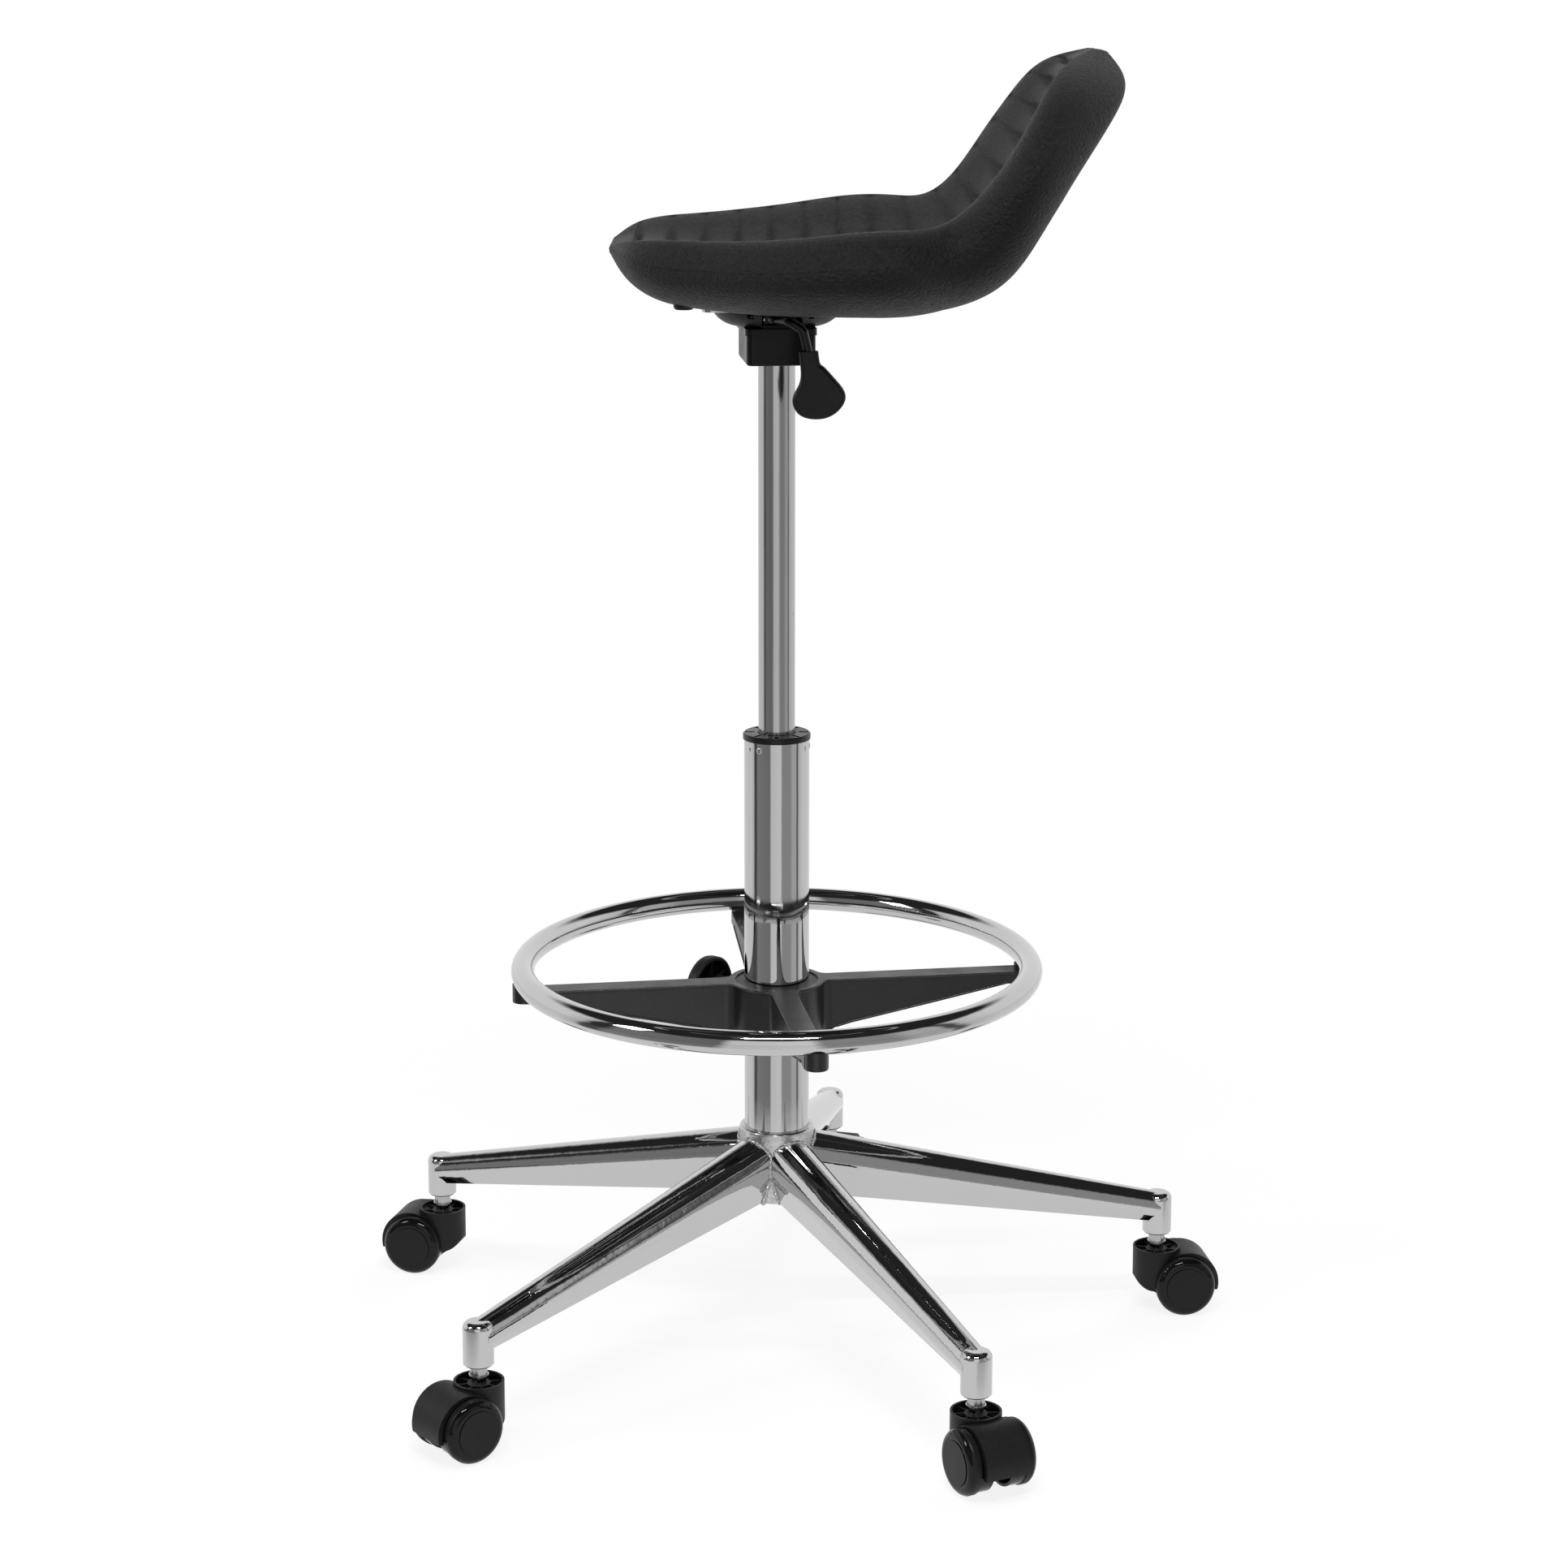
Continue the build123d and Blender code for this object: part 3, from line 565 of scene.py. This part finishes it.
seatSpec = {
    # outer (y, z), crest (y, z), half width, dish between the bolsters, in millimetres
    "stations": [
        (-122.8, 851, -122, 857.5, 46, 0.5), (-120, 843.5, -118, 861.5, 80, 2),
        (-112, 834, -110, 864, 104, 5), (-95, 822.5, -97, 866, 123, 9),
        (-70, 815.5, -71, 867.5, 144, 16), (-25, 812, -25, 869.5, 178, 24),
        (20, 811, 18, 873.5, 201, 30), (62, 810.8, 60, 878.5, 211, 33),
        (102, 811.5, 95, 878.8, 200, 32), (134, 818.5, 114.5, 880, 178, 28),
        (160, 833.5, 131.5, 890, 177, 25), (179, 859.5, 147.5, 908, 187, 25),
        (201.5, 901.5, 165.5, 934.5, 192, 24), (223.5, 934, 180, 957, 170, 20),
        (240, 957, 193.5, 977, 140, 13), (251.5, 975, 205, 989, 102, 6),
        (254.5, 987.5, 214.5, 995.5, 68, 2), (249.5, 994.5, 223.5, 998.5, 46, 0.7),
        (242.5, 998, 231, 999.5, 24, 0.2),
    ],
    "squareBack": (120, 200),   # from the first y to the second the outer corners get squarer
    "rows": 360,
    "panelColumns": 210,
    "skinColumns": 110,
    "panelWidth": 0.84,         # of the half width
    # distances of the grooves along the crest, from the front
    "grooves": (
        18, 43, 68.3, 94.1, 119.2, 145.5, 172, 198, 224.5, 251, 272, 297.5, 321.4, 343.7, 366.5, 389,
    ),
    "grooveDepth": (3.4, 0.3),  # in the middle and near the ends
    "grooveHalf": (6.6, 3.2),   # half width, likewise
    "runIn": 3,                 # from the smooth skin to the first and the last groove
    "taper": (0.56, 0.84),      # of the panel's width, where it changes
    "dome": 1.4,                # how far a pad is crowned
    "endLine": (0.3, 2.2),      # depth and width of the line round a pad's ends
    "edgeStep": 4.0,
    "partingHeight": 0.4,
    "partingWidth": 0.6,
    "partingShare": 0.15,       # its place, from the widest point towards the crest
    "partingColumns": 13,
    "partingReach": 3.0,        # how far its close columns go to each side
    "partingClear": 3.6,        # and how far the others keep off
    "capDepth": (1.2, 0.8),
    "ironing": 8,               # rows over which the stations are smoothed
    "capRows": 7,
    "land": (52.5, 810.8),      # radius and height of the flat under the seat
    "landRise": 10,             # skin up to this far above it belongs to the underside
    "scuffed": (984, 994),      # heights between which the scratches set in
}

# which of the points across the seat lie at its widest and on its crest, right and left
sideRight, crestRight, crestLeft, sideLeft = 3, 4, 10, 11


def seatRing(half, thick, dish, backShare):
    # the fourteen points across the seat: low middle, right side, high middle, left side
    corner = 0.26 - 0.12 * backShare
    right = [
        (0.55 * half, 0.04 * (1 - backShare) * thick), (0.9 * half, corner * thick), (half, 0.6 * thick),
        (0.88 * half, thick), (0.66 * half, thick - 0.55 * dish), (0.36 * half, thick - 0.95 * dish),
    ]
    zero = np.zeros_like(half)
    x = [zero] + [p[0] for p in right] + [zero] + [-p[0] for p in right[::-1]]
    y = [zero] + [p[1] for p in right] + [thick - dish] + [p[1] for p in right[::-1]]
    return np.stack([np.stack(x, -1), np.stack(y, -1)], -1)


def seatColumns(knots, spec):
    # close columns over the panel and at the parting line, wider ones elsewhere
    panel = np.linspace(knots[crestRight], knots[crestLeft], spec["panelColumns"])
    share = spec["partingShare"]
    parting = [
        knots[sideRight] + share * (knots[crestRight] - knots[sideRight]),
        knots[sideLeft] - share * (knots[sideLeft] - knots[crestLeft]),
    ]
    skin = np.concatenate([
        np.linspace(0, knots[crestRight], spec["skinColumns"] // 2, endpoint=False),
        np.linspace(knots[crestLeft], knots[-1], spec["skinColumns"] // 2 + 1)[1:-1],
    ])
    close = np.linspace(-1, 1, spec["partingColumns"]) * spec["partingReach"]
    fine = np.concatenate([line + close for line in parting])
    clear = np.min(np.abs(skin[:, None] - np.array(parting)[None]), 1) > spec["partingClear"]
    return np.sort(np.concatenate([panel, skin[clear], fine])), parting


def ironed(values, breadth):
    # bell-shaped mean over neighbouring rows, the ends carried on straight so that they stay put
    reach = 3 * breadth
    before = 2 * values[:1] - values[reach:0:-1]
    after = 2 * values[-1:] - values[-2:-reach - 2:-1]
    weights = np.exp(-0.5 * (np.arange(-reach, reach + 1) / breadth) ** 2)
    padded = np.concatenate([before, values, after])
    return np.stack([np.convolve(column, weights / weights.sum(), "valid") for column in padded.T], -1)


def makeSeat(spec):
    table = np.array(spec["stations"], float)
    middle = (table[:, 0:2] + table[:, 2:4]) / 2
    travel = np.concatenate([[0], np.cumsum(np.linalg.norm(np.diff(middle, axis=0), axis=1))])
    rows = np.linspace(0, travel[-1], spec["rows"])
    smooth = ironed(splineMatrix(travel, rows) @ table, spec["ironing"])
    outer, crest, half, dish = smooth[:, 0:2], smooth[:, 2:4], smooth[:, 4], smooth[:, 5]
    rise = crest - outer
    thick = np.linalg.norm(rise, axis=1)
    backShare = np.clip((outer[:, 0] - spec["squareBack"][0]) / np.ptp(spec["squareBack"]), 0, 1)
    ring = seatRing(half, thick, dish, backShare)
    chords = np.linalg.norm(np.diff(np.concatenate([ring, ring[:, :1]], 1), axis=1), axis=2).mean(0)
    knots = np.concatenate([[0], np.cumsum(chords)])
    columns, parting = seatColumns(knots, spec)
    across = np.einsum("ck,rkd->rcd", splineMatrix(knots, columns, loop=True), ring)
    lift = rise / thick[:, None]
    flat = np.stack([
        across[..., 0],
        outer[:, None, 0] + across[..., 1] * lift[:, None, 0],
        outer[:, None, 1] + across[..., 1] * lift[:, None, 1],
    ], -1)

    # how far each point is along the crest, and its place on the crowned pads between the grooves:
    # a groove is a cosine trough, wide and deep in the middle, thin and shallow near its ends, and
    # a pad's ends are round, with a fine line about them
    crestTravel = np.concatenate([[0], np.cumsum(np.linalg.norm(np.diff(crest, axis=0), axis=1))])
    t = np.broadcast_to(crestTravel[:, None], across.shape[:2])
    x = np.abs(across[..., 0])
    width = spec["panelWidth"] * half[:, None]
    onTop = (columns > knots[crestRight]) & (columns < knots[crestLeft])
    lines = np.array(spec["grooves"], float)
    cell = np.clip(np.searchsorted(lines, t, side="right") - 1, 0, len(lines) - 2)
    reach = (lines[cell + 1] - lines[cell]) / 2
    runIn = spec["runIn"]
    inRun = smoothStep(t, lines[0] - runIn, lines[0]) * smoothStep(-t, -lines[-1] - runIn, -lines[-1])
    local = np.minimum(np.abs(t - lines[cell] - reach), reach)
    middle = 1 - smoothStep(x / width, *spec["taper"])
    tapers = (spec["grooveDepth"], spec["grooveHalf"])
    depth, breadth = (atEnd + (inMiddle - atEnd) * middle for inMiddle, atEnd in tapers)
    trough = depth * (0.5 + 0.5 * np.cos(np.pi * np.clip((reach - local) / breadth, 0, 1)))
    inside = reach - np.hypot(np.maximum(x - (width - reach), 0), local)
    line = spec["endLine"][0] * np.exp(-((inside / spec["endLine"][1]) ** 2)) * (x > width - reach)
    crown = spec["dome"] * (local / reach) ** 2
    panel = (1 - smoothStep(x, width - spec["edgeStep"], width)) * onTop[None]
    down = panel * inRun * np.maximum(trough + crown, line)

    gapToLine = np.min(np.abs(columns[:, None] - np.array(parting)[None]), 1)
    ridge = spec["partingHeight"] * np.exp(-((gapToLine / spec["partingWidth"]) ** 2))
    alongRow = np.gradient(flat, axis=0)
    alongColumn = np.roll(flat, -1, axis=1) - np.roll(flat, 1, axis=1)
    normal = np.cross(alongColumn, alongRow)
    normal /= np.linalg.norm(normal, axis=2, keepdims=True)
    if (normal[spec["rows"] // 2, :, 0] * across[spec["rows"] // 2, :, 0]).sum() < 0:
        normal = -normal
    skin = flat + normal * (ridge[None] - down)[..., None]
    landRadius, landHeight = spec["land"]
    low = skin[..., 2] < landHeight + spec["landRise"]
    under = (np.hypot(skin[..., 0], skin[..., 1]) < landRadius) & low
    skin[..., 2] = np.where(under, np.maximum(skin[..., 2], landHeight), skin[..., 2])

    # both ends close in a rounded cap: the last ring shrinks as it moves out
    turn = np.linspace(0, np.pi / 2, spec["capRows"] + 1)[1:-1]
    caps = []
    for end, step, depth in ((0, 1, spec["capDepth"][0]), (-1, -2, spec["capDepth"][1])):
        ringNow = skin[end]
        heart = ringNow.mean(0)
        way = heart - skin[step].mean(0)
        way /= np.linalg.norm(way)
        shrink = np.sqrt(np.cos(turn))[:, None, None]
        out = depth * np.sin(turn)[:, None, None]
        caps.append(heart + (ringNow - heart)[None] * shrink + way * out)
    grid = np.concatenate([caps[0][::-1], skin, caps[1]])
    count = len(turn)

    def widen(values):
        body = np.broadcast_to(values, across.shape[:2])
        return np.concatenate([np.repeat(body[:1], count, 0), body, np.repeat(body[-1:], count, 0)])

    points, quads = shutGrid(grid)
    seat = meshObject("seat_shell", points * mm, quads, "seat")
    scuff = smoothStep(flat[..., 2], *spec["scuffed"])
    # the groove depth is kept as a mark that darkens the colour there, as painted shade
    marks = {"panel": panel, "groove": np.clip(down / spec["grooveDepth"][0], 0, 1), "scuff": scuff}
    for label, values in marks.items():
        layer = seat.data.attributes.new(label, "FLOAT", "POINT")
        layer.data.foreach_set("value", np.concatenate([widen(values).ravel(), [0, 0]]).astype(np.float32))
    seat.data.materials.append(finishes["seat_foam"])
    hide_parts("seat_cushion")


makeSeat(seatSpec)
print("stage: seat")


# small plugs moulded under the front of the seat

plugSpec = {"x": 98, "y": -67, "top": 822.5, "bottom": 816.6, "radius": 7.5}


def makePlugs(spec):
    # a disc with a rounded lower edge, as rings of growing depth
    turn = np.linspace(0, 2 * np.pi, 32, endpoint=False)
    profile = [(0.97, 0.0), (1.0, 0.1), (1.0, 0.6), (0.94, 0.85), (0.8, 1.0), (0.4, 1.0), (0.36, 0.9)]
    grids = []
    for side in (-1, 1):
        rings = [np.stack([
            side * spec["x"] + share * spec["radius"] * np.cos(turn),
            spec["y"] + share * spec["radius"] * np.sin(turn),
            np.full_like(turn, spec["top"] + (spec["bottom"] - spec["top"]) * depth),
        ], -1) for share, depth in profile]
        grids.append(np.stack(rings) * mm)
    points, quads = joinGrids(grids)
    plugs = meshObject("seat_plugs", points, quads, "seat")
    plugs.data.materials.append(finishes["dish_plastic"])


makePlugs(plugSpec)


# weld beads where the legs meet the hub

weldSpec = {
    "legs": 5, "firstAngle": 27.39, "hub": 29.3, "half": 19.0, "foot": 11.78, "centre": 144.0,
    "sole": 114.6, "swing": -15.3, "bead": 1.5, "lump": 0.55, "points": 150,
    "seed": 7, "lumpSpan": 5, "swaySpan": 9, "sway": 0.5,
}


def weldPath(spec):
    # up one leaning side of the leg, over its round crest and down the other side, wrapped on the
    # hub, and pushed out along the mitre where neighbouring legs meet
    swing = math.radians(spec["swing"])
    arc = np.linspace(swing, math.pi - swing, spec["points"])
    corner = (spec["half"] * math.cos(swing), spec["centre"] + spec["half"] * math.sin(swing))
    share = np.linspace(0, 1, spec["points"] // 3, endpoint=False)
    rightY = spec["foot"] + (corner[0] - spec["foot"]) * share
    rightZ = spec["sole"] + (corner[1] - spec["sole"]) * share
    y = np.concatenate([rightY, spec["half"] * np.cos(arc), -rightY[::-1]])
    z = np.concatenate([rightZ, spec["centre"] + spec["half"] * np.sin(arc), rightZ[::-1]])
    sector = math.pi / spec["legs"]
    angle = np.clip(np.arcsin(np.clip(y / spec["hub"], -1, 1)), -sector, sector)
    radius = np.maximum(spec["hub"], np.abs(y) / math.sin(sector))
    return np.stack([radius * np.cos(angle), radius * np.sin(angle), z], -1)


def runningMean(dice, count, span):
    # random draws, each the mean of its neighbours over the span
    return np.convolve(dice.normal(size=count + span - 1), np.ones(span) / span, "valid")


def makeWelds(spec):
    path = weldPath(spec)
    dice = np.random.default_rng(spec["seed"])
    grids = []
    for leg in range(spec["legs"]):
        lumps = runningMean(dice, len(path), spec["lumpSpan"])
        radius = spec["bead"] + spec["lump"] * lumps
        sway = runningMean(dice, len(path), spec["swaySpan"])[:, None] * spec["sway"]
        bead = tubeGrid(path + sway * np.array([0.3, 0.3, 1.0]), radius, (0.6, 0.1, 0.3), 12)
        grids.append(turnedAbout(bead, spec["firstAngle"] + 360 / spec["legs"] * leg) * mm)
    points, quads = joinGrids(grids)
    welds = meshObject("hub_welds", points, quads, "base")
    welds.data.materials.append(weldChrome)


makeWelds(weldSpec)


# crimps in the column that hold its bush, and raised rims on the foot ring's spider

crimpSpec = {
    "angles": (-56.8, -32.4, 63.2, 87.6, 183.2, 207.6),
    "height": 472.2,
    "radius": 24.7,
    "size": (2.3, 2.6, 0.95),   # half widths round and up the tube, and the rise
    "shoulder": 0.8,            # below 1 the outline has fuller corners
}


def fuller(wave, power):
    return np.sign(wave) * np.abs(wave) ** power


def makeCrimps(spec):
    # low domes on the tube: half turns of a flattened ball
    rise = np.radians(np.linspace(-80, 80, 13))
    turn = np.linspace(0, 2 * np.pi, 24, endpoint=False)
    size = spec["size"]
    grids = []
    for angle in spec["angles"]:
        out = spec["radius"] + size[2] * np.sin(rise)[:, None] * np.ones_like(turn)
        y = size[0] * np.cos(rise)[:, None] * fuller(np.cos(turn), spec["shoulder"])
        z = spec["height"] + size[1] * np.cos(rise)[:, None] * fuller(np.sin(turn), spec["shoulder"])
        grids.append(turnedAbout(np.stack([out, y, z], -1), angle) * mm)
    points, quads = joinGrids(grids)
    crimps = meshObject("column_crimps", points, quads, "base")
    crimps.data.materials.append(finishes["chromed_tube"])


rimSpec = {
    "firstAngle": 8.4, "half": 8.9, "hub": 36.4, "fillet": 9.0, "end": 186.0, "top": 286.0,
    "radius": 1.0, "lower": [(46, 249.6), (57, 252.6), (120, 265.6), (180, 278.4)],
}


def arcPoints(centre, radius, start, end, count=24):
    turn = np.radians(np.linspace(start, end, count))
    return np.stack([centre[0] + radius * np.cos(turn), centre[1] + radius * np.sin(turn)], -1)


def makeRims(spec):
    # one bead in each quarter: in along an arm, round the fillet and the hub, out along the next arm
    far = spec["hub"] + spec["fillet"]
    side = spec["half"] + spec["fillet"]
    x = math.sqrt(far**2 - side**2)
    tilt = math.degrees(math.atan2(side, x))
    inward = np.stack([np.linspace(spec["end"], x, 20, endpoint=False), np.full(20, spec["half"])], -1)
    first = arcPoints((x, side), spec["fillet"], -90, -180 + tilt)
    hub = arcPoints((0, 0), spec["hub"], tilt, 90 - tilt)[1:-1]
    half = np.concatenate([inward, first, hub[:len(hub) // 2]])
    mirrored = half[::-1, ::-1]
    plan = np.concatenate([half, mirrored])
    upper = np.column_stack([plan, np.full(len(plan), spec["top"])])
    grids = []
    for quarter in range(4):
        turn = spec["firstAngle"] + 90 * quarter
        grids.append(turnedAbout(tubeGrid(upper, spec["radius"], (0, 0, 1)), turn) * mm)
        for hand in (-1, 1):
            low = np.array([(r, hand * spec["half"], z) for r, z in spec["lower"]])
            grids.append(turnedAbout(tubeGrid(low, spec["radius"], (0, 0, 1)), turn) * mm)
    points, quads = joinGrids(grids)
    rims = meshObject("spider_rims", points, quads, "footring")
    rims.data.materials.append(finishes["spider_plastic"])


makeCrimps(crimpSpec)
makeRims(rimSpec)
print("stage: welds, crimps and rims")


# floor, studio and lamps

def makeFloor(spec):
    corners = np.array([(-6, -6, 0), (6, -6, 0), (6, 6, 0), (-6, 6, 0)], float)
    floor = meshObject("floor", corners, [(0, 1, 2, 3)], None)
    material = bpy.data.materials.new("floor_paper")
    material.use_nodes = True
    tree = material.node_tree
    tree.nodes.clear()
    place = addNode(tree, "ShaderNodeSeparateXYZ", Vector=objectPlace(tree))
    x, y = place.outputs["X"], place.outputs["Y"]
    away = sums(tree, "SQRT", sums(tree, "ADD", sums(tree, "POWER", x, 2.0), sums(tree, "POWER", y, 2.0)))
    rays = addNode(tree, "ShaderNodeLightPath")
    glossy = rays.outputs["Is Glossy Ray"]
    seen = sums(tree, "ADD", rays.outputs["Is Camera Ray"], rays.outputs["Is Transmission Ray"])
    far = spread(tree, away, *spec["fadeFloor"], spec["lift"], 1.0, smooth=True)
    direct = sums(tree, "MULTIPLY", seen, far)
    mirrored = sums(tree, "MULTIPLY", glossy, spec["mirrorShare"])
    share = sums(tree, "ADD", direct, mirrored, clamp=True)
    room = useGroup(tree, roomAround, X=x, Y=y)
    beyond = spread(tree, away, *spec["nearFloor"], smooth=True)
    patterned = sums(tree, "MULTIPLY", glossy, beyond)
    level = addNode(tree, "ShaderNodeMix", {"data_type": "FLOAT"})
    feed(tree, level.inputs[0], patterned)
    feed(tree, level.inputs[2], 1.0)
    feed(tree, level.inputs[3], room.outputs["Level"])
    glow = addNode(tree, "ShaderNodeEmission", Strength=level.outputs[0])
    paper = addNode(tree, "ShaderNodeBsdfDiffuse", Color=greyMix(tree, seen, *spec["paper"]))
    mix = addNode(tree, "ShaderNodeMixShader")
    for socket, value in zip(mix.inputs, (share, paper.outputs[0], glow.outputs[0])):
        feed(tree, socket, value)
    addNode(tree, "ShaderNodeOutputMaterial", Surface=mix.outputs[0])
    floor.data.materials.append(material)


def makeWorld(spec):
    # white to the camera; polished parts see walls round the chair, a dark ceiling and strip lights
    world = bpy.data.worlds.new("studio")
    scene.world = world
    world.use_nodes = True
    tree = world.node_tree
    tree.nodes.clear()
    outward = addNode(tree, "ShaderNodeTexCoord").outputs["Generated"]
    way = addNode(tree, "ShaderNodeSeparateXYZ", Vector=outward)
    room = useGroup(tree, roomAround, X=way.outputs["X"], Y=way.outputs["Y"])
    height = sums(tree, "DEGREES", sums(tree, "ARCSINE", way.outputs["Z"]))
    wall = spread(tree, height, *spec["wallTop"], 1.0, 0.0, smooth=True)
    behind = sums(tree, "LESS_THAN", way.outputs["X"], 0.0)
    signed = sums(tree, "MULTIPLY", height, spread(tree, behind, 0.0, 1.0, 1.0, -1.0))
    level = sums(tree, "MAXIMUM", sums(tree, "MULTIPLY", room.outputs["Level"], wall), spec["ceiling"])
    for angle, width, strength in spec["strips"]:
        off = sums(tree, "ABSOLUTE", sums(tree, "SUBTRACT", signed, float(angle)))
        level = sums(tree, "ADD", level, spread(tree, off, width * 0.6, width, strength, 0.0, smooth=True))
    rays = addNode(tree, "ShaderNodeLightPath")
    glossy = rays.outputs["Is Glossy Ray"]
    seen = addNode(tree, "ShaderNodeBackground", Strength=1.0)
    shiny = addNode(tree, "ShaderNodeBackground", Strength=level)
    fill = addNode(tree, "ShaderNodeBackground", Strength=spec["fill"])
    for sky in (seen, shiny, fill):
        sky.inputs["Color"].default_value = (1, 1, 1, 1)
    first = addNode(tree, "ShaderNodeMixShader")
    for socket, value in zip(first.inputs, (glossy, fill.outputs[0], shiny.outputs[0])):
        feed(tree, socket, value)
    clear = sums(tree, "ADD", rays.outputs["Is Camera Ray"], rays.outputs["Is Transmission Ray"], clamp=True)
    second = addNode(tree, "ShaderNodeMixShader")
    for socket, value in zip(second.inputs, (clear, first.outputs[0], seen.outputs[0])):
        feed(tree, socket, value)
    addNode(tree, "ShaderNodeOutputWorld", Surface=second.outputs[0])


lampSpecs = {
    "lampTop": {
        "place": (0.7, -0.1, 2.9), "aim": (0, 0, 0.6), "size": (1.6, 1.6), "power": 34, "mirrored": False,
    },
    "lampStrip": {
        "place": (1.5, 0.05, 2.6), "aim": (0, 0, 0.8), "size": (1.1, 0.12), "power": 32, "mirrored": True,
    },
    "lampFront": {
        "place": (0.8, -2.1, 1.9), "aim": (0, 0, 0.85), "size": (0.5, 0.9), "power": 16, "mirrored": True,
    },
    "lampRear": {
        "place": (-1.8, 1.2, 1.9), "aim": (0, 0, 0.8), "size": (1.2, 1.2), "power": 26, "mirrored": False,
    },
}


def makeLamps(specs):
    for name, spec in specs.items():
        lamp = bpy.data.lights.new(name, "AREA")
        lamp.shape = "RECTANGLE"
        lamp.size, lamp.size_y = spec["size"]
        lamp.energy = spec["power"]
        holder = bpy.data.objects.new(name, lamp)
        holder.location = spec["place"]
        way = Vector(spec["aim"]) - Vector(spec["place"])
        holder.rotation_euler = way.to_track_quat("-Z", "Y").to_euler()
        holder.visible_glossy = spec["mirrored"]
        scene.collection.objects.link(holder)


makeFloor(studioSpec)
makeWorld(studioSpec)
makeLamps(lampSpecs)
print("stage: floor, studio and lamps")
